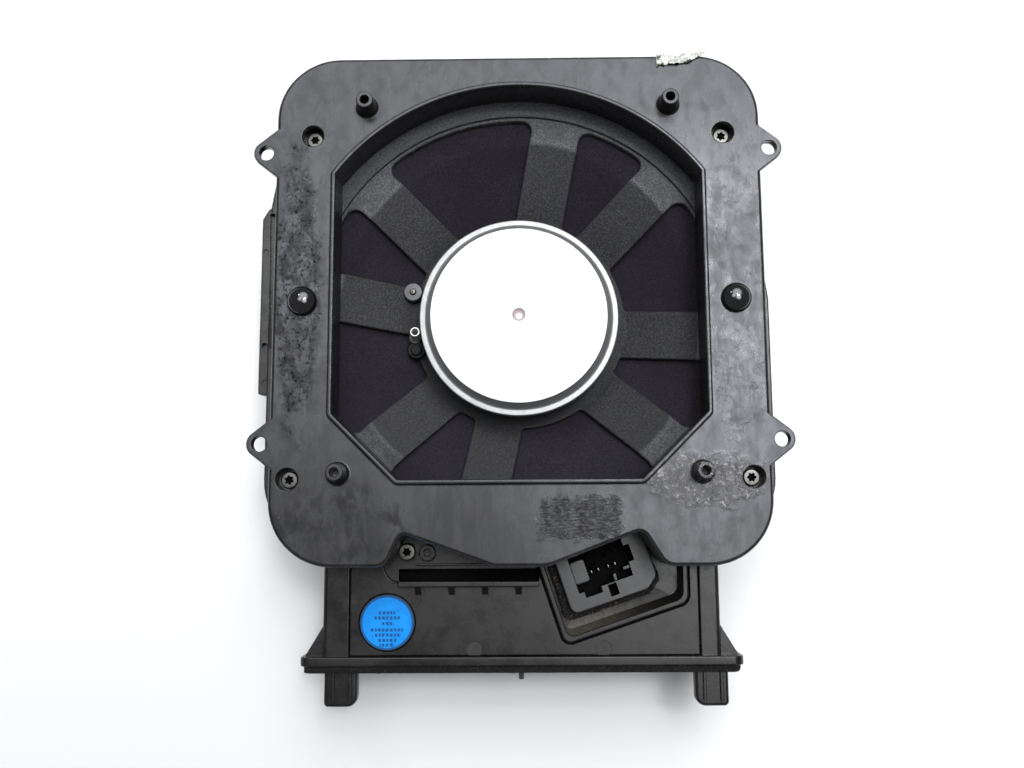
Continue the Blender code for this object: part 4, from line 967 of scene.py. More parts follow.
# --- enclosure -----------------------------------------------------------------------------
def build_top_frame():
    obj = soft_prism("frame_moulding", frame_outline(), SKIRT, FACE, EDGE_R, mat=LOOKS["frame"])
    cut(obj, prism("hollow", offset(frame_outline(), -WALL), SKIRT - 0.01, FACE - 0.003))
    foot = 0.0008
    round_over = 0.0007
    top = FACE + LIP_HEIGHT
    collar = [(0.0, COLLAR_Z), (LIP_WIDTH, COLLAR_Z), (LIP_WIDTH, FACE - 0.004),
              (LIP_WIDTH + foot, FACE - 0.004), (LIP_WIDTH + foot, FACE)]
    collar += [(LIP_WIDTH + foot - inset, FACE + foot - drop)
               for inset, drop in ((foot * 0.60, foot * 0.93), (foot * 0.93, foot * 0.60))]
    collar += shoulder(LIP_WIDTH, top, round_over, parts=3)
    collar += shoulder(0.0, top, round_over, side=1, parts=3)[::-1]
    opening = opening_outline()
    join(obj, sweep("collar", opening, collar))
    for x, y in TABS:
        join(obj, soft_prism("tab", tab_outline(x, y), FACE - TAB_THICK, FACE, 0.0006, 0.0006))
    for x, y in WELLS:
        join(obj, prism("well_wall", circle(x, y, WELL_R + 0.002), SKIRT, FACE - 0.001))
    for x, y in EARS:
        join(obj, prism("ear_boss", circle(x, y, 0.0050), BASKET_TOP + GAP, FACE - 0.001))
    for x, y in POSTS:
        join(obj, build_post(x, y))
    cut(obj, prism("opening", opening, SKIRT - 0.01, FACE + 0.02))
    for x, y in TABS:
        cut(obj, flared("tab_hole", circle(x, y, 0.0035), FACE - 0.01, FACE, 0.0004))
    for x, y in WELLS:
        cut(obj, flared("well", circle(x, y, WELL_R), WELL_FLOOR, FACE, 0.0006))
        cut(obj, prism("well_hole", circle(x, y, 0.0023), SKIRT - 0.01, WELL_FLOOR + 0.001))
    for x, y in POSTS:
        cut(obj, flared("post_hole", circle(x, y, 0.0021), FACE, FACE + POST_HEIGHT, 0.0003))
    for x, y in EARS:
        cut(obj, prism("ear_hole", circle(x, y, 0.0018), BASKET_TOP - 0.001, 0.0765))
    for x, y in BUMPERS:
        cut(obj, prism("bumper_hole", circle(x, y, 0.0030), FACE - 0.01, FACE + 0.01))
    return dress(obj, FIXED, ["top_frame"])


def build_post(x, y):
    """A tapered post with a rounded tip and a filleted foot."""
    top = FACE + POST_HEIGHT
    foot = 0.0011
    layers = [(POST_R + foot, FACE - 0.001)]
    for angle in spread(0.0, math.pi / 2, 4):
        layers.append((POST_R + foot * (1 - math.sin(angle)), FACE + foot * (1 - math.cos(angle))))
    layers += shoulder(POST_TIP_R, top, 0.0006)
    return stack("post", [(circle(x, y, radius), z) for radius, z in layers])


def build_duct_body():
    """The duct's own walls with rounded rails, open on top where the cover sits."""
    corners = [(-DUCT_X, DUCT_BOTTOM, 0.0015), (DUCT_X, DUCT_BOTTOM, 0.0015), (DUCT_X, DUCT_TOP, 0.0024),
               (-DUCT_X, DUCT_TOP, 0.0024)]
    duct = upright(prism("duct_body", rounded(corners), 0.0, DUCT_ROOT - MOUTH_Y - 0.001), DUCT_ROOT)
    x0, x1 = COVER_X
    seat_y = MOUTH_Y + FLANGE_THICK
    seat_z = DUCT_TOP - COVER_THICK - GAP
    shaft = box_outline(x0 + LEDGE, x1 - LEDGE, seat_y + LEDGE, -0.090)
    cut(duct, prism("duct_top_open", shaft, MOUTH_Z[1] - 0.001, seat_z + 0.001))
    seat = box_outline(x0 - GAP, x1 + GAP, seat_y, -0.090)
    cut(duct, flared("cover_seat", seat, seat_z, DUCT_TOP, 0.0005))
    return duct


def add_mouth(tub):
    """The mouth's flange, its gussets, the two locating horns and a small tab."""
    flange = soft_prism("mouth_flange", flange_outline(), 0.0, FLANGE_THICK, 0.0007, 0.0007)
    join(tub, upright(flange, MOUTH_Y + FLANGE_THICK))
    root = MOUTH_Y + 0.002
    for i, side in enumerate((-1, 1)):
        gusset = [Vector((side * 0.094, -0.146)), Vector((side * 0.104, -0.1625)),
                  Vector((side * 0.094, -0.1625))]
        for z in (0.012, 0.026, 0.040, 0.0485):
            shape = gusset if side < 0 else gusset[::-1]
            join(tub, prism("gusset", shape, z, z + (0.0024 if z > 0.045 else 0.003)))
        outer = HORN_X[i] + side * HORN_HALF
        inner = HORN_X[i] - side * HORN_HALF
        nose = MOUTH_Y - HORN_LENGTH
        horn = [(outer, root, 0), (outer, nose, 0.0022), (inner, nose, 0.005), (inner, root, 0)]
        outline = rounded(horn if side < 0 else horn[::-1])
        body = soft_prism("horn", outline, *HORN_Z, 0.0016, 0.0016)
        for ridge_x in (HORN_X[i] - 0.0035, HORN_X[i] + 0.0045):
            ridge = box_outline(ridge_x - 0.0008, ridge_x + 0.0008, nose + 0.0022, root, 0.0006)
            join(body, soft_prism("horn_ridge", ridge, HORN_Z[0] + 0.003, HORN_Z[1] + 0.0010, 0.0004))
        join(tub, body)
    tab = box_outline(-0.0012, 0.0012, -0.1725, root, 0.0005)
    join(tub, soft_prism("mouth_tab", tab, 0.047, 0.052, 0.0003))


def build_lower_housing():
    tub = soft_prism("housing_moulding", wall_outline(), 0.0, SPLIT, 0.0, 0.0025, LOOKS["housing"])
    join(tub, build_duct_body())
    rim_shape = soft_prism("tub_rim", rim_outline(), SPLIT - 0.004, SPLIT, 0.0008, 0.0008)
    notch_area = box_outline(-0.085, 0.085, -0.120, -0.090)
    cut(rim_shape, prism("rim_gap", notch_area, SPLIT - 0.01, SPLIT + 0.01))
    join(tub, rim_shape)
    join(tub, build_side_rail())
    groove = [Vector((-0.1236, 0.0540)), Vector((-0.1222, -0.0140)), Vector((-0.1190, -0.0140)),
              Vector((-0.1190, 0.0540))]
    cut(tub, prism("rail_groove", groove, SPLIT - 0.003, SPLIT + 0.001))
    add_mouth(tub)
    for y in (-0.060, -0.020, 0.020, 0.060, 0.090):
        for side in (-1, 1):
            x = side * (HALF_WIDTH - TUB_INSET)
            rib = box_outline(x - 0.0014, x + 0.0014, y - 0.0009, y + 0.0009, 0.0004)
            join(tub, prism("side_rib", rib, 0.003, SPLIT - 0.003))
    cut(tub, prism("tub_hollow", wall_outline(-WALL), WALL, SPLIT + 0.01))
    channel = box_outline(-MOUTH_X, MOUTH_X, MOUTH_Y - 0.001, -0.096)
    cut(tub, prism("mouth_channel", channel, *MOUTH_Z))
    for x, y in WELLS:
        post = prism("screw_post", circle(x, y, WELL_R), WALL - 0.001, SPLIT)
        cut(post, prism("screw_post_hole", circle(x, y, 0.0022), SCREW_TIP, SPLIT + 0.01))
        join(tub, post)
    divider = box_outline(-0.0014, 0.0014, MOUTH_Y + 0.0005, -0.122)
    join(tub, prism("mouth_divider", divider, MOUTH_Z[0] - 0.001, POCKET_FLOOR - 0.0045))
    recess_underside(tub)
    return dress(tub, FIXED, ["lower_housing"])


def build_side_rail():
    """The rail along the left side, with three dimples in its upper face."""
    rail = rounded([(-0.112, 0.0575, 0), (RAIL_X + 0.0033, 0.0570, 0.001), (RAIL_X, 0.0515, 0.001),
                    (RAIL_X, -0.0362, 0.001), (-0.112, -0.0392, 0)])
    top = SPLIT - 0.001
    obj = soft_prism("side_rail", rail, SPLIT - 0.009, top, 0.0006, 0.0006)
    for x, y, radius, depth in ((-0.1252, 0.0348, 0.0012, 0.0006), (-0.1247, -0.0125, 0.0014, 0.0025),
                                (-0.1236, -0.0313, 0.0020, 0.0004)):
        cut(obj, flared("rail_dimple", circle(x, y, radius), top - depth, top, 0.0002))
    return obj


def recess_underside(tub):
    """Shallow panels between ribs on the unseen flat side."""
    depth = 0.0010
    for k in range(8):
        start = math.radians(45 * k + 3)
        end = math.radians(45 * k + 42)
        arc = spread(start, end, 10)
        panel = [polar(0.094, a) for a in arc] + [polar(0.040, a) for a in reversed(arc)]
        cut(tub, prism("panel", panel, -0.005, depth))
    cut(tub, prism("panel", circle(0, 0, 0.034, 96), -0.005, depth))


def cut_groove(cover, outline, width, depth):
    """A groove of the given width just outside an outline on the duct's cover."""
    low = DUCT_TOP - depth
    high = DUCT_TOP + 0.002
    cut(cover, sweep("groove", outline, [(0, low), (width, low), (width, high), (0, high)]))


def build_duct_cover():
    """A plate over the duct with the socket's pocket, a trough and a standing rib."""
    x0, x1 = COVER_X
    seam = 0.0002
    near = MOUTH_Y + FLANGE_THICK + GAP
    plate = box_outline(x0 + seam, x1 - seam, near, -0.1000)
    cover = soft_prism("cover_moulding", plate, DUCT_TOP - COVER_THICK, DUCT_TOP, mat=LOOKS["housing"])
    rib_x0, rib_x1 = RIB_X
    inside = DUCT_TOP - 0.001
    trough = (RIB_Y + RIB_HALF, RIB_Y + RIB_HALF + 0.0055)
    trough_wall = box_outline(rib_x0 - 0.002, rib_x1 + 0.002, trough[0] - 0.002, trough[1] + 0.0006)
    join(cover, prism("trough_wall", trough_wall, TROUGH_Z - 0.002, inside))
    join(cover, prism("pocket_wall", pocket_outline(0.0022), POCKET_FLOOR - 0.0022, inside))
    join(cover, soft_prism("pocket_rim", pocket_outline(0.0024), inside, DUCT_TOP + 0.0010))
    rib = box_outline(rib_x0, rib_x1, RIB_Y - RIB_HALF, RIB_Y + RIB_HALF, 0.0008)
    join(cover, soft_prism("rib", rib, inside, RIB_TOP))
    for k in range(4):
        x = rib_x0 + 0.0095 + 0.0160 * k
        foot = [Vector((RIB_Y - 0.001, inside)), Vector((RIB_Y - 0.001, RIB_TOP - 0.0006)),
                Vector((RIB_Y - 0.0062, inside))]
        wedge = soft_prism("rib_gusset", foot[::-1], 0.0, 0.0028, 0.0003, 0.0003)
        axes = Matrix(((0, 0, 1), (1, 0, 0), (0, 1, 0))).to_4x4()
        wedge.data.transform(Matrix.Translation((x - 0.0014, 0, 0)) @ axes)
        join(cover, wedge)
    for x, y, top in COVER_BOSSES:
        join(cover, soft_prism("cover_boss", circle(x, y, 0.0040), inside, top))
    ledge = box_outline(-0.0500, -0.0120, -0.1190, -0.1180, 0.0004)
    join(cover, soft_prism("notch_ledge", ledge, inside, DUCT_TOP + 0.0030, 0.0003))
    cut(cover, flared("trough", box_outline(rib_x0, rib_x1, *trough, 0.0004), TROUGH_Z, DUCT_TOP, 0.0004))
    pocket = [(pocket_outline(0.0, POCKET_DRAFT), POCKET_FLOOR), (pocket_outline(0.0), DUCT_TOP + 0.0006),
              (pocket_outline(0.0004), DUCT_TOP + 0.0010), (pocket_outline(0.0004), DUCT_TOP + 0.0040)]
    cut(cover, stack("pocket", pocket))
    stem_hole = slanted_box(-0.0105, 0.0105, -0.0065, 0.0065)
    cut(cover, prism("stem_hole", stem_hole, 0.040, POCKET_FLOOR + 0.001))
    for x, y, top in COVER_BOSSES:
        cut(cover, flared("boss_hole", circle(x, y, 0.0018), DUCT_TOP - 0.002, top, 0.0003))
    cut_groove(cover, pocket_outline(0.0026), 0.0011, 0.0016)
    cut_groove(cover, circle(*LABEL_AT, LABEL_R + 0.0004, 96), 0.0006, 0.0007)
    curved = curve_points([(-0.0670, -0.1175, 0), (-0.0655, -0.1225, 0), (-0.0625, -0.1262, 0),
                           (-0.0588, -0.1272, 0)])
    for x in (-0.0223, 0.0392):
        cut(cover, prism("ejector_mark", circle(x, -0.1585, 0.0038), DUCT_TOP - 0.0003, DUCT_TOP + 0.001))
    cut(cover, tube("curved_groove", [p + Vector((0, 0, DUCT_TOP + 0.0001)) for p in curved], 0.0007))
    cut(cover, prism("tub_side", wall_outline(GAP), 0.03, 0.07))
    near_wall = RIB_Y - 0.004
    # Painted light and shade: the pocket's walls and floor take the pocket look
    repaint(cover, "pocket", lambda at: POCKET_FLOOR - 0.0002 < at.z < DUCT_TOP - 0.0010 and at.x > 0.012
            and at.y < near_wall)
    # Painted shade in the trough behind the rib
    repaint(cover, "recess", lambda at: RIB_X[0] - 0.001 < at.x < RIB_X[1] + 0.001
            and RIB_Y < at.y < RIB_Y + 0.008 and at.z < DUCT_TOP - 0.0005)
    # Painted shade: faces just below the cover's top, the walls and floors of its shallow grooves
    repaint(cover, "recess", lambda at: DUCT_TOP - 0.0017 < at.z < DUCT_TOP - 0.0006)
    repaint(cover, "mark", lambda at: DUCT_TOP - 0.0004 < at.z < DUCT_TOP - 0.0002)
    return dress(cover, FIXED, ["duct_cover"])


def ruffle(obj, size, depth, only):
    """Push the points of a soft piece in and out by noise, along their normals."""
    for vertex in obj.data.vertices:
        if only(vertex.co):
            amount = noise.fractal(vertex.co / size, 0.8, 2.0, 3)
            vertex.co += vertex.normal * depth * amount
    obj.data.update()


def build_mouth_gasket():
    """A foam frame on the mouth flange, with an uneven cut edge, notched around the horns."""
    outline = divided(flange_outline(0.0012), 0.0010)
    gasket = loft("mouth_foam", [[Vector((p.x, p.y, z)) for p in offset(outline, -inset)]
                                 for z, inset in ((0.0, 0.0), (0.0010, 0.0), (0.0020, 0.0001),
                                                  (0.0027, 0.0003), (GASKET_THICK, 0.0008))],
                  LOOKS["mouth_foam"])
    ruffle(gasket, 0.0035, 0.0005, lambda point: 0.0005 < point.z < GASKET_THICK - 0.0001)
    upright(gasket, MOUTH_Y - GAP)
    back = MOUTH_Y + 0.001
    front = MOUTH_Y - 0.010
    cut(gasket, prism("gasket_mouth", box_outline(-MOUTH_X, MOUTH_X, front, back), *MOUTH_Z))
    for x in HORN_X:
        reach = HORN_HALF + GAP
        slot = box_outline(x - reach, x + reach, front, back)
        cut(gasket, prism("gasket_slot", slot, HORN_Z[0] - GAP, HORN_Z[1] + 0.0018))
    cut(gasket, prism("gasket_tab_slot", box_outline(-0.0015, 0.0015, front, back), 0.0467, 0.0523))
    return dress(gasket, FIXED, ["mouth_gasket"], 40)


# --- plug socket ---------------------------------------------------------------------------
def socket_outline(left=0.0, low=0.0, right=0.0):
    """The socket's body, or its seal when its sides are moved outwards."""
    x0 = SOCKET_X[0] - left
    x1 = SOCKET_X[1] + right
    y0 = SOCKET_Y[0] - low
    y1 = SOCKET_Y[1]
    near = [(x0, y0, 0.004), (x1 - 0.006, y0, 0.005), (x1, y0 + 0.005, 0.004)]
    return slanted(rounded(near + [(x1, y1, 0.001), (x0, y1, 0.001)]))


def build_socket():
    bottom = POCKET_FLOOR + GAP
    socket = soft_prism("socket_moulding", socket_outline(), bottom, PLUG_TOP, 0.0008, mat=LOOKS["socket"])
    stem = slanted_box(-0.0100, 0.0100, -0.0060, 0.0060)
    join(socket, prism("stem", stem, 0.0405, bottom + 0.001))
    floor = PLUG_TOP - 0.0075
    keys = [(-0.0150, 0.0120, -0.0065, 0.0120), (-0.0125, -0.0040, -0.0095, -0.0060),
            (0.0000, 0.0100, -0.0060, 0.0140), (0.0115, 0.0150, 0.0000, 0.0080)]
    well = flared("key", slanted_box(*keys[0][:2], *keys[0][2:]), floor, PLUG_TOP, 0.0003)
    for x0, x1, y0, y1 in keys[1:]:
        join(well, prism("key", slanted_box(x0, x1, y0, y1), floor, PLUG_TOP + 0.004))
    cut(socket, well)
    latch = slanted_box(-0.0010, 0.0032, -0.0128, -0.0072)
    cut(socket, prism("latch_slot", latch, floor - 0.0015, PLUG_TOP + 0.001))
    block = slanted_box(-0.0154, -0.0076, -0.0030, 0.0085, 0.0016)
    join(socket, soft_prism("block", block, floor - 0.0005, PLUG_TOP - 0.0026, 0.0008))
    add_socket_details(socket, floor)
    cut(socket, prism("tub_side_socket", wall_outline(2 * GAP), 0.03, 0.07))
    for i, x in enumerate(PIN_X):
        pin_hole = slanted_box(x - 0.0009, x + 0.0009, -0.0001, 0.0021)
        cut(socket, prism("pin_hole", pin_hole, 0.040, floor + 0.001))
        pin = slanted_box(x - 0.0004, x + 0.0004, 0.0002, 0.0018, 0.0003)
        blade = soft_prism(f"pin_{i + 1}", pin, 0.0395, PLUG_TOP - 0.0036, 0.0002, mat=LOOKS["contact"])
        dress(blade, FIXED, [f"connector_pin_{i + 1}"])
    # Painted shade: every face of the socket below its upper plate, in the plug's well and down its sides
    repaint(socket, "recess", lambda at: at.z < PLUG_TOP - 0.0036)
    dress(socket, FIXED, ["connector_housing"])


def add_socket_details(socket, floor):
    """Guide ribs and three curved walls round the pins, inside the plug's well."""
    rib_top = PLUG_TOP - 0.0012
    for box in ((0.0086, 0.0120, -0.0030, -0.0014), (0.0030, 0.0046, -0.0065, -0.0030)):
        outline = slanted_box(*box)
        join(socket, soft_prism("guide", outline, floor - 0.0005, rib_top, 0.0003))
    for centre, start, end in (((-0.0105, 0.0062), 200, 350), ((-0.0040, 0.0060), 120, 300),
                               ((0.0060, 0.0050), 20, 170)):
        arc = [math.radians(angle) for angle in spread(start, end, 14)]
        ring = [polar(0.0033, a, *centre) for a in arc] + [polar(0.0024, a, *centre) for a in reversed(arc)]
        join(socket, prism("barrel", slanted(ring), floor - 0.0005, PLUG_TOP - 0.0038))


def build_seal():
    """A speckled foam collar between the socket and its pocket."""
    bottom = POCKET_FLOOR + GAP
    top = PLUG_TOP - 0.0035
    outline = divided(socket_outline(0.0036, 0.0024, 0.0010), 0.0008)
    layers = [(0.0, bottom), (0.0, bottom + 0.003), (0.0, top - 0.0014), (0.0002, top - 0.0005),
              (0.0008, top)]
    seal = stack("seal_foam", [(offset(outline, -inset), z) for inset, z in layers], LOOKS["foam"])
    ruffle(seal, 0.0022, 0.0005, lambda point: bottom + 0.001 < point.z < top - 0.0001)
    hole = divided(socket_outline(GAP, GAP, GAP), 0.0010)
    cutter = stack("seal_inside", [(hole, bottom - 0.001), (hole, PLUG_TOP + 0.002)])
    cut(seal, cutter)
    cut(seal, prism("tub_side_seal", wall_outline(0.0043), 0.02, 0.09))
    dress(seal, FIXED, ["connector_seal"], 40)


# --- driver --------------------------------------------------------------------------------
def build_basket():
    top = shoulder(BASKET_R, BASKET_TOP, 0.0006)
    radii = [0.1000, 0.0950]
    radii += [BEND_R + 0.0018 - 0.0006 * k for k in range(7)]
    radii += [0.0820, 0.0760, 0.0700, 0.0640, 0.0590]
    radii += [HUB_R + 0.0024 - 0.0008 * k for k in range(7)]
    radii += [0.0440, 0.0360, HUB_HOLE_R]
    top += [(radius, basket_height(radius)) for radius in radii]
    hub_under = HUB_TOP - SHEET
    rim_under = BASKET_TOP - SHEET
    spider_top = SPIDER_Z + 0.0014
    under = [(HUB_HOLE_R, hub_under), (0.0440, hub_under), (0.0440, spider_top), (0.0480, spider_top),
             (0.0480, hub_under), (HUB_R, hub_under), (BEND_R, rim_under), (0.1005, rim_under),
             (0.1005, LANDING_Z), (0.1050, LANDING_Z), (0.1050, rim_under), (BASKET_R, rim_under)]
    basket = lathe("basket_moulding", top + under, LOOKS["basket"])
    for x, y in EARS:
        direction = Vector((x, y)).normalized()
        across = Vector((-direction.y, direction.x)) * EAR_R
        root = direction * (BASKET_R - 0.003)
        angle = math.atan2(y, x)
        tip = [Vector((x, y)) + Vector((math.cos(angle + t), math.sin(angle + t))) * EAR_R
               for t in [math.radians(d) for d in range(-90, 91, 10)]]
        ear = [root + across * 1.3, root - across * 1.3] + tip
        join(basket, prism("basket_ear", ear, rim_under, BASKET_TOP))
    for (x, y), radius in LUGS:
        lug = circle(x, y, radius)
        join(basket, soft_prism("terminal_lug", lug, 0.0475, TERMINAL_Z, 0.0006))
    spokes = sorted((pair + s * SPOKE_SPREAD) % 360 for pair in SPOKE_PAIRS for s in (-1, 1))
    for i, first in enumerate(spokes):
        last = spokes[(i + 1) % len(spokes)]
        cut(basket, build_window(window_outline(first, last + 360 * (last < first))))
    for x, y in EARS:
        cut(basket, prism("basket_hole", circle(x, y, 0.0022), 0.060, 0.070))
    for x, y in (TERMINAL_WASHER, TERMINAL_TUBE):
        cut(basket, prism("rivet_hole", circle(x, y, 0.0012), 0.040, 0.060))
    return dress(basket, FIXED, ["basket"])


def build_window(outline):
    """A cutter whose wall flares into a rounded rim that follows the basket's face."""
    radius = 0.0008
    rings = [level(outline, 0.030)]
    for inset, drop in arc_steps(radius):
        grown = offset(outline, inset)
        rings.append([Vector((p.x, p.y, basket_height(p.length) - drop)) for p in grown])
    grown = offset(outline, radius)
    rings.append([Vector((p.x, p.y, basket_height(p.length) + 0.0006)) for p in grown])
    rings.append(level(grown, 0.080))
    tool = loft("window", rings)
    for (x, y), radius in LUGS:
        cut(tool, prism("window_lug", circle(x, y, radius - 0.00025), 0.020, 0.090))
    return tool


def build_scrim():
    """The cloth under the spokes, sagging slightly into the windows."""
    outer = [(0.1001, BASKET_TOP), (0.0945, BASKET_TOP), (BEND_R + 0.0002, BASKET_TOP)]
    steps = 16
    slope = [(HUB_R + 0.0002 + (BEND_R - HUB_R) * (1 - k / steps), None) for k in range(steps + 1)]
    top = []
    for radius, z in outer + slope[1:]:
        share = max(0.0, min(1.0, (radius - HUB_R) / (BEND_R - HUB_R)))
        height = z if z is not None else HUB_TOP + (BASKET_TOP - HUB_TOP) * share
        sag = 0.0006 * math.sin(math.pi * share)
        top.append((radius, height - SHEET - GAP - sag))
    top.append((0.0485, HUB_TOP - SHEET - GAP))
    under = [(radius, z - 0.0006) for radius, z in reversed(top)]
    scrim = lathe("scrim_cloth", top + under, LOOKS["cloth"])
    for (x, y), radius in (LUGS[0], LUGS[-1]):
        cut(scrim, prism("scrim_hole", circle(x, y, radius + 0.0004), 0.030, 0.060))
    return dress(scrim, FIXED, ["basket_scrim"], 50)


def build_driver_gasket():
    low = BASKET_TOP
    high = COLLAR_Z - GAP
    inner = shoulder(0.1005, high, 0.0006, side=1)
    outer = shoulder(BASKET_R, high, 0.0006)[::-1]
    profile = [(0.1005, low)] + inner + outer + [(BASKET_R, low)]
    band = lathe("driver_band", profile, LOOKS["gasket"])
    return dress(band, FIXED, ["driver_gasket"])


def build_yoke():
    """The plated cup: a raised disc with a turned step, darkened as painted shade, and a dimple, inside a
    ring.
    """
    pole = COIL_R - 0.0006
    low = YOKE_RING_TOP - 0.0050
    edge = 0.0005
    profile = [(0, 0.0460), (pole, 0.0460), (pole, YOKE_TOP - 0.0045), (HUB_HOLE_R, YOKE_TOP - 0.0045),
               (HUB_HOLE_R, low), (YOKE_R - edge, low)]
    profile += shoulder(YOKE_R, low, edge, rising=-1)[::-1]
    profile += shoulder(YOKE_R, YOKE_RING_TOP, edge)
    ring_in = PLATEAU_R + STEP_WIDTH
    profile += shoulder(ring_in, YOKE_RING_TOP, 0.0003, side=1)[::-1]
    profile += [(ring_in - 0.0006, YOKE_RING_TOP - 0.0008), (PLATEAU_R + 0.0009, YOKE_TOP - 0.0013)]
    profile += shoulder(PLATEAU_R + 0.0006, YOKE_TOP, 0.0006)
    profile += [(0.0033 * math.cos(angle), YOKE_TOP - 0.0014 * math.sin(angle))
                for angle in spread(0.0, math.pi / 2, 6)[:-1]]
    profile.append((0, YOKE_TOP - 0.0014))
    yoke = lathe("yoke_cup", profile, LOOKS["yoke"])
    return dress(yoke, FIXED, ["yoke"])


def build_moving_parts():
    """Cone and cap on the moving body; the surround, spider and leads are built in place in their CAD nodes'
    stead.
    """
    neck_r, neck_z = 0.0262, 0.025
    edge_r, edge_z = CONE_EDGE
    thick = 0.0012
    steps = 24
    wall = [(neck_r + (edge_r - neck_r) * k / steps,
             neck_z + (edge_z - neck_z) * (k / steps) ** 1.06) for k in range(steps + 1)]
    upper = [(edge_r + 0.004, edge_z + thick)] + [(radius, z + thick) for radius, z in reversed(wall)]
    cone = lathe("cone_body", wall + [(edge_r + 0.004, edge_z)] + upper, LOOKS["paper"], 128)
    dress(cone, MOVING, ["cone"])
    rise = 0.0065
    rim_z = neck_z - 0.0015
    sphere = (COIL_R ** 2 + rise ** 2) / (2 * rise)
    cap = [(radius, rim_z - rise + sphere - math.sqrt(sphere ** 2 - radius ** 2))
           for radius in spread(0.0, COIL_R + 0.0004, 16)]
    shell = [(radius, z - 0.0008) for radius, z in cap]
    dome = lathe("cap_dome", shell + cap[::-1], LOOKS["paper"], 96)
    dress(dome, MOVING, ["dust_cap"])
    build_surround()
    build_spider()
    build_tinsel()


def bend_between(obj, nodes, weight):
    """Bake a ring in place and hide its CAD nodes; each point's weight is worked out but not applied."""
    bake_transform(obj)
    weights = np.array([weight(vertex.co) for vertex in obj.data.vertices], np.float32)
    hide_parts(*nodes)


def radial_weight(fixed_r, moving_r):
    """1 at the moving radius, 0 at the fixed one, smooth between them."""
    def weight(point):
        share = (Vector((point.x, point.y)).length - fixed_r) / (moving_r - fixed_r)
        share = max(0.0, min(1.0, share))
        return share * share * (3 - 2 * share)
    return weight


def build_surround():
    inner = CONE_EDGE[0] + 0.0005
    roll_in = CONE_EDGE[0] + 0.0045
    roll_out = 0.1012
    top = CONE_EDGE[1] - GAP
    middle = (roll_in + roll_out) / 2
    half = (roll_out - roll_in) / 2
    landing = LANDING_Z - GAP
    steps = 20
    upper = [(inner, top)]
    for k in range(steps + 1):
        angle = math.pi * k / steps
        lift = (landing - top) * k / steps
        upper.append((middle - half * math.cos(angle), top + lift - 1.35 * half * math.sin(angle)))
    upper.append((0.1048, landing))
    lower = [(radius, z - 0.0009) for radius, z in upper]
    obj = lathe("surround_roll", upper[::-1] + lower, LOOKS["rubber"], 144)
    bend_between(obj, ["surround"], radial_weight(roll_out, roll_in))


def build_spider():
    inner = COIL_R + FORMER + 0.0003
    outer = 0.0476
    flat_in = inner + 0.0015
    flat_out = outer - 0.0034
    waves = 5
    steps = waves * 12
    landing = SPIDER_Z + 0.0011
    top = [(inner, SPIDER_Z)]
    for k in range(steps + 1):
        share = k / steps
        radius = flat_in + (flat_out - flat_in) * share
        wave = 0.0006 * (1 - math.cos(2 * math.pi * waves * share)) / 2
        top.append((radius, SPIDER_Z + (landing - SPIDER_Z) * share ** 3 - wave))
    top.append((outer, landing))
    under = [(radius, z - 0.0005) for radius, z in top]
    obj = lathe("spider_ring", top[::-1] + under, LOOKS["spider"], 120)
    bend_between(obj, ["spider"], radial_weight(flat_out, flat_in))


def build_tinsel():
    """Braided leads from the terminals' undersides to the coil former's neck."""
    for i, (x, y) in enumerate((TERMINAL_WASHER, TERMINAL_BOSS)):
        out = Vector((x, y)).normalized()
        start = out * 0.0535
        end = out * (COIL_R + FORMER + 0.0014)
        route = [(start.x, start.y, 0.0432), (out.x * 0.0500, out.y * 0.0500, 0.0405),
                 (out.x * 0.0400, out.y * 0.0400, 0.0365), (end.x, end.y, 0.0360)]
        obj = tube(f"lead_{i + 1}", curve_points(route), 0.0005, LOOKS["braid"])
        bend_between(obj, [f"tinsel_lead_{i + 1}"], radial_weight(start.length, end.length))


def build_terminals():
    """Washer with a rivet, hollow solder tube, and a small boss."""
    z = TERMINAL_Z + GAP
    washer = [(0.0013, z), (0.0045, z)]
    washer += shoulder(0.0045, z + 0.0009, 0.0003)
    washer += [(0.0016, z + 0.0010), (0.0013, z + 0.0008)]
    plate = lathe("washer_plate", washer, LOOKS["washer"], SMALL, TERMINAL_WASHER)
    rivet = [(0, z - 0.0035), (0.0011, z - 0.0035), (0.0011, z + 0.0007), (0.0017, z + 0.0011),
             (0.0016, z + 0.0016), (0.0011, z + 0.0021), (0.0004, z + 0.0022), (0, z + 0.0018)]
    pin = lathe("washer_rivet", rivet, LOOKS["contact"], SMALL, TERMINAL_WASHER)
    dress(plate, FIXED, ["terminal_washer"])
    dress(pin, FIXED, [])
    boss = [(0, z), (0.0030, z)] + shoulder(0.0029, z + 0.0024, 0.0009)
    knob = lathe("boss_knob", boss + [(0, z + 0.0024)], LOOKS["boss"], SMALL, TERMINAL_BOSS)
    dress(knob, FIXED, ["terminal_boss"])
    hollow = [(0.0014, z), (0.0026, z), (0.0026, z + 0.0005), (0.0023, z + 0.0009), (0.0021, z + 0.0016),
              (0.0021, z + 0.0092), (0.0023, z + 0.0097), (0.0022, z + 0.0102), (0.0017, z + 0.0102),
              (0.0014, z + 0.0094)]
    barrel = lathe("solder_tube", hollow, LOOKS["solder"], SMALL, TERMINAL_TUBE)
    for vertex in barrel.data.vertices:
        vertex.co += TUBE_LEAN * (vertex.co.z - z)
    dress(barrel, FIXED, ["terminal_tube"])


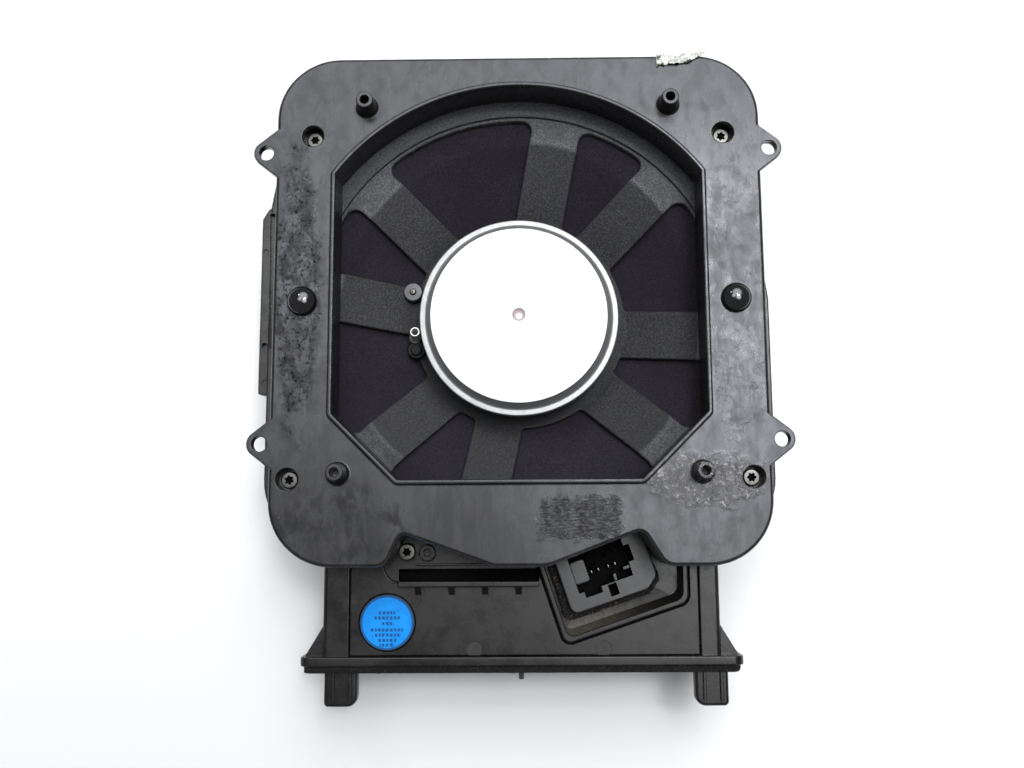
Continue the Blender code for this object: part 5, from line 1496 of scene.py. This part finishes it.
def build_screws():
    """Star-drive screws: the frame's, the cover's and the driver's."""
    for i, (x, y) in enumerate(WELLS):
        obj = build_screw(f"well_screw_{i + 1}", (x, y), WELL_FLOOR + GAP, SCREW_TIP + 0.002, 20.0 * i)
        dress(obj, FIXED, [f"frame_screw_{i + 1}"])
    for i, (x, y) in enumerate(EARS):
        obj = build_screw(f"basket_screw_{i + 1}", (0, 0), 0.0, -0.0120, 15.0 * i)
        turn = Matrix.Rotation(math.pi, 4, "X")
        obj.data.transform(Matrix.Translation((x, y, BASKET_TOP - SHEET - GAP)) @ turn)
        dress(obj, FIXED, [f"driver_screw_{i + 1}"])
    x, y, top = COVER_BOSSES[0]
    dress(build_screw("notch_screw", (x, y), top + GAP, DUCT_TOP, 10.0), FIXED, ["cover_screw"])


def build_screw(name, at, seat, tip, spin):
    """A pan head with a six-lobed recess and a threaded shank."""
    height = 0.0024
    head = [(0, tip)]
    turns = int((seat - tip - 0.0015) / 0.0012)
    head.append((SHANK_R * 0.6, tip))
    for k in range(turns):
        z = tip + 0.0006 + 0.0012 * k
        head += [(SHANK_R * 0.80, z), (SHANK_R, z + 0.0006)]
    head += [(SHANK_R * 0.85, seat), (HEAD_R, seat), (HEAD_R, seat + 0.0009)]
    for angle in spread(0.0, math.pi / 2, 8)[1:-1]:
        radius = HEAD_R * (0.78 + 0.22 * math.cos(angle))
        head.append((radius, seat + 0.0009 + (height - 0.0009) * math.sin(angle)))
    head.append((0, seat + height))
    obj = lathe(name, head, LOOKS["steel"], SMALL, at)
    star = [polar(STAR_R * (0.84 + 0.14 * math.cos(6 * angle)), angle + math.radians(spin), *at)
            for angle in spread(0.0, 2 * math.pi, 72)[:-1]]
    cut(obj, prism("star", star, seat + 0.0010, seat + 0.005))
    centre = Vector(at)
    # Painted shade in the star recess
    repaint(obj, "recess", lambda p: seat + 0.0009 < p.z < seat + height - 0.0002
            and (p.xy - centre).length < STAR_R * 1.01)
    return obj


def build_bumpers():
    """Glossy domes pressed into the frame by a short stem."""
    for name, (x, y) in zip(("bumper_left", "bumper_right"), BUMPERS):
        base = FACE + GAP
        stem = FACE - 0.0045
        dome = [(0, stem), (0.0026, stem), (0.0026, base), (BUMPER_R - 0.0003, base),
                (BUMPER_R, base + 0.0003)]
        dome += [(BUMPER_R * math.cos(angle), base + 0.0004 + 0.0048 * math.sin(angle))
                 for angle in spread(0.0, math.pi / 2, 20)[:-1]]
        dome.append((0, base + 0.0052))
        obj = lathe(name.replace("bumper", "dome"), dome, LOOKS["bumper"], 72, (x, y))
        dress(obj, FIXED, [name])


def build_label():
    """A thin sticker with a soft edge."""
    low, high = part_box("label")
    disc = soft_prism("label_disc", circle(*LABEL_AT, LABEL_R, 128), low.z - 0.0001, high.z, 0.00015, 0.0,
                      LOOKS["label"])
    dress(disc, FIXED, ["label"])


def build_wires():
    """Two wires from the socket's stem, through the duct and round the tub to the basket."""
    for i in range(2):
        lift = 0.0030 * i
        rise_y = -0.0045 * i
        start = slanted([(-0.0045 + 0.0090 * i, -0.0030)])[0]
        route = [(start.x, start.y, 0.0390), (start.x - 0.002, start.y, 0.0300),
                 (start.x - 0.004, -0.1080, 0.0120 + lift), (-0.030, -0.1010, 0.0060 + lift),
                 (-0.070, -0.0920, 0.0060 + lift), (-0.0990, -0.0600, 0.0060 + lift),
                 (-0.1070, -0.0200 + rise_y, 0.0100 + lift), (-0.1075, rise_y, 0.0300),
                 (-0.1075, 0.0030 + rise_y, 0.0610)]
        obj = tube(f"harness_wire_{i + 1}", curve_points(route, 8), 0.0009, LOOKS["sleeve"], 16)
        dress(obj, FIXED, [f"speaker_wire_{i + 1}"])


def build_tape():
    """Two torn scraps of clear film left on the frame's far edge, one folded over."""
    flat_start = Vector((0.0668, TOP_Y - 0.0027))
    flat_end = Vector((0.0757, TOP_Y - 0.0024))
    add_scrap("tape_scrap_flat", flat_start, flat_end, 0.0006, lambda share: 0.0033 - 0.0008 * share ** 2)
    fold_start = Vector((0.0722, TOP_Y - 0.0045))
    fold_end = Vector((0.0903, TOP_Y + 0.0010))
    add_scrap("tape_scrap_fold", fold_start, fold_end, 0.0016,
              lambda share: 0.0006 + 0.0023 * math.sin(math.pi * share))


def add_scrap(name, start, end, lift, half):
    """A crumpled strip between two points, of the given half width along its length."""
    bm = bmesh.new()
    columns = 30
    rows = 8
    side = (end - start).normalized()
    side = Vector((-side.y, side.x))
    grid = []
    for i in range(columns + 1):
        share = i / columns
        torn = half(share) * (0.85 + 0.35 * noise.noise(Vector((share * 5.0, lift * 900, 3.0))))
        column = []
        for j in range(rows + 1):
            across = 2 * j / rows - 1
            at = start.lerp(end, share) + side * torn * across
            fold = abs(noise.fractal(Vector((share * 5.0, across * 1.2, lift * 900)), 0.8, 2.0, 3))
            over = max(0.0, at.y - (TOP_Y - EDGE_R))
            column.append(bm.verts.new((at.x, at.y, FACE + 0.0004 + lift * (0.3 + fold) - over * 0.3)))
        grid.append(column)
    for i in range(columns):
        for j in range(rows):
            bm.faces.new((grid[i][j], grid[i + 1][j], grid[i + 1][j + 1], grid[i][j + 1]))
    obj = finish(name, bm, LOOKS["tape"], 80)
    thick = obj.modifiers.new("thickness", "SOLIDIFY")
    thick.thickness = 0.00012
    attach(obj, FIXED)


HIDDEN = [                       # CAD nodes that stay, their looks and their slots
    ("top_plate", "yoke", "zinc_plate"),
    ("magnet", "ferrite", "ferrite"),
    ("coil_former", "kapton", "former_film"),
    ("coil_winding", "copper", "copper"),
]


def carry_over(name, look):
    """Keep a hidden CAD node's mesh and give it a finished material."""
    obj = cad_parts[name]
    obj.data.materials.clear()
    obj.data.materials.append(LOOKS[look])


# --- stage, light and camera ---------------------------------------------------------------
def build_floor():
    """A pale paper sheet, greyed slightly by painted shade towards the left and by a painted soft shadow
    towards the near side.
    """
    look = Look("pale_floor", 0.65, 0.0, 0.2)
    cloud = look.noise(0.25, 4.0)
    white = look.mix(cloud, (0.900, 0.905, 0.910), (0.935, 0.935, 0.935))
    # Painted shade: slightly greyer towards the left, away from the main light
    white = look.mix(look.ramp(look.axis(0), -0.32, -0.10), (0.89, 0.90, 0.90), white)
    # Painted shadow: greyer towards the near side, where the object's soft shadow falls
    near = look.times(look.ramp(look.axis(1), 0.02, -0.25), look.ramp(look.axis(0), 0.17, 0.03))
    look.set("Base Color", look.mix(near, white, (0.71, 0.715, 0.72)))
    look.set("Normal", look.bump(look.noise(0.02, 5.0), 0.0004, 0.2))
    bm = bmesh.new()
    bmesh.ops.create_grid(bm, x_segments=8, y_segments=8, size=2.5)
    floor = finish("floor", bm, look.material)
    floor.location.z = -0.0004


def direction(tilt_x, tilt_y):
    """A unit vector leaning from straight up by two angles in degrees."""
    return Vector((math.tan(math.radians(tilt_x)), math.tan(math.radians(tilt_y)), 1.0)).normalized()


GLOWS = [                        # tilt towards +X, tilt towards +Y, inner and outer reach, strength
    (7.0, 30.0, 8.0, 29.0, 4.7),
    (12.6, 13.0, 1.5, 6.0, 34.0),
    (13.5, 3.0, 6.0, 15.0, 6.2),
    (-14.0, 12.0, 3.0, 12.0, 4.4),
    (-3.0, 3.0, 3.0, 10.0, 0.9),
]
SKY = 0.22                       # strength of the light from everywhere
LAMPS = [                        # name, tilts, distance, width, length, power
    ("lamp_key", 11.0, 17.0, 1.4, 0.05, 0.05, 1.2),
    ("lamp_side", -24.0, 34.0, 1.4, 0.05, 0.12, 0.8),
]


def build_world():
    """A dim even room with soft bright panels overhead, which the flat faces mirror."""
    world = bpy.data.worlds.new("studio")
    bpy.context.scene.world = world
    world.use_nodes = True
    tree = world.node_tree
    background = tree.nodes["Background"]
    place = tree.nodes.new("ShaderNodeTexCoord").outputs["Generated"]
    total = None
    for tilt_x, tilt_y, inner, outer, strength in GLOWS:
        dot = tree.nodes.new("ShaderNodeVectorMath")
        dot.operation = "DOT_PRODUCT"
        tree.links.new(place, dot.inputs[0])
        dot.inputs[1].default_value = direction(tilt_x, tilt_y)
        glow = tree.nodes.new("ShaderNodeMapRange")
        glow.interpolation_type = "SMOOTHSTEP"
        glow.inputs["From Min"].default_value = math.cos(math.radians(outer))
        glow.inputs["From Max"].default_value = math.cos(math.radians(inner))
        glow.inputs["To Max"].default_value = strength
        tree.links.new(dot.outputs["Value"], glow.inputs["Value"])
        add = tree.nodes.new("ShaderNodeMath")
        add.operation = "ADD"
        tree.links.new(glow.outputs[0], add.inputs[0])
        if total is None:
            add.inputs[1].default_value = SKY
        else:
            tree.links.new(total, add.inputs[1])
        total = add.outputs[0]
    tree.links.new(total, background.inputs["Strength"])
    background.inputs["Color"].default_value = (0.97, 0.985, 1.0, 1.0)


def add_lamp(name, tilt_x, tilt_y, distance, size_x, size_y, power):
    lamp = bpy.data.lights.new(name, "AREA")
    lamp.shape = "RECTANGLE"
    lamp.size = size_x
    lamp.size_y = size_y
    lamp.energy = power
    obj = bpy.data.objects.new(name, lamp)
    bpy.context.scene.collection.objects.link(obj)
    towards = direction(tilt_x, tilt_y)
    obj.location = towards * distance
    obj.rotation_mode = "QUATERNION"
    obj.rotation_quaternion = towards.to_track_quat("Z", "Y")


CAMERA_AT = (0.0021, -0.0981, FACE + 0.456)
CAMERA_TURN = (7.80, 0.72325, -0.32697)   # degrees about X, Y and Z, from straight down
FOCAL = 35.16                    # mm
SENSOR = 36.0                    # mm


def build_camera():
    camera = bpy.data.cameras.new("camera")
    camera.lens = FOCAL
    camera.sensor_width = SENSOR
    camera.clip_start = 0.01
    obj = bpy.data.objects.new("camera", camera)
    bpy.context.scene.collection.objects.link(obj)
    obj.location = CAMERA_AT
    obj.rotation_euler = [math.radians(angle) for angle in CAMERA_TURN]
    bpy.context.scene.camera = obj


def main():
    for build in (build_top_frame, build_lower_housing, build_duct_cover, build_mouth_gasket,
                  build_socket, build_seal, build_basket, build_scrim, build_driver_gasket, build_yoke,
                  build_moving_parts, build_terminals, build_screws, build_bumpers, build_label,
                  build_wires, build_tape):
        build()
    for name, look, material_slot in HIDDEN:
        carry_over(name, look)
    build_floor()
    build_world()
    for lamp in LAMPS:
        add_lamp(*lamp)
    build_camera()
    bpy.context.scene.view_settings.view_transform = "Standard"


main()
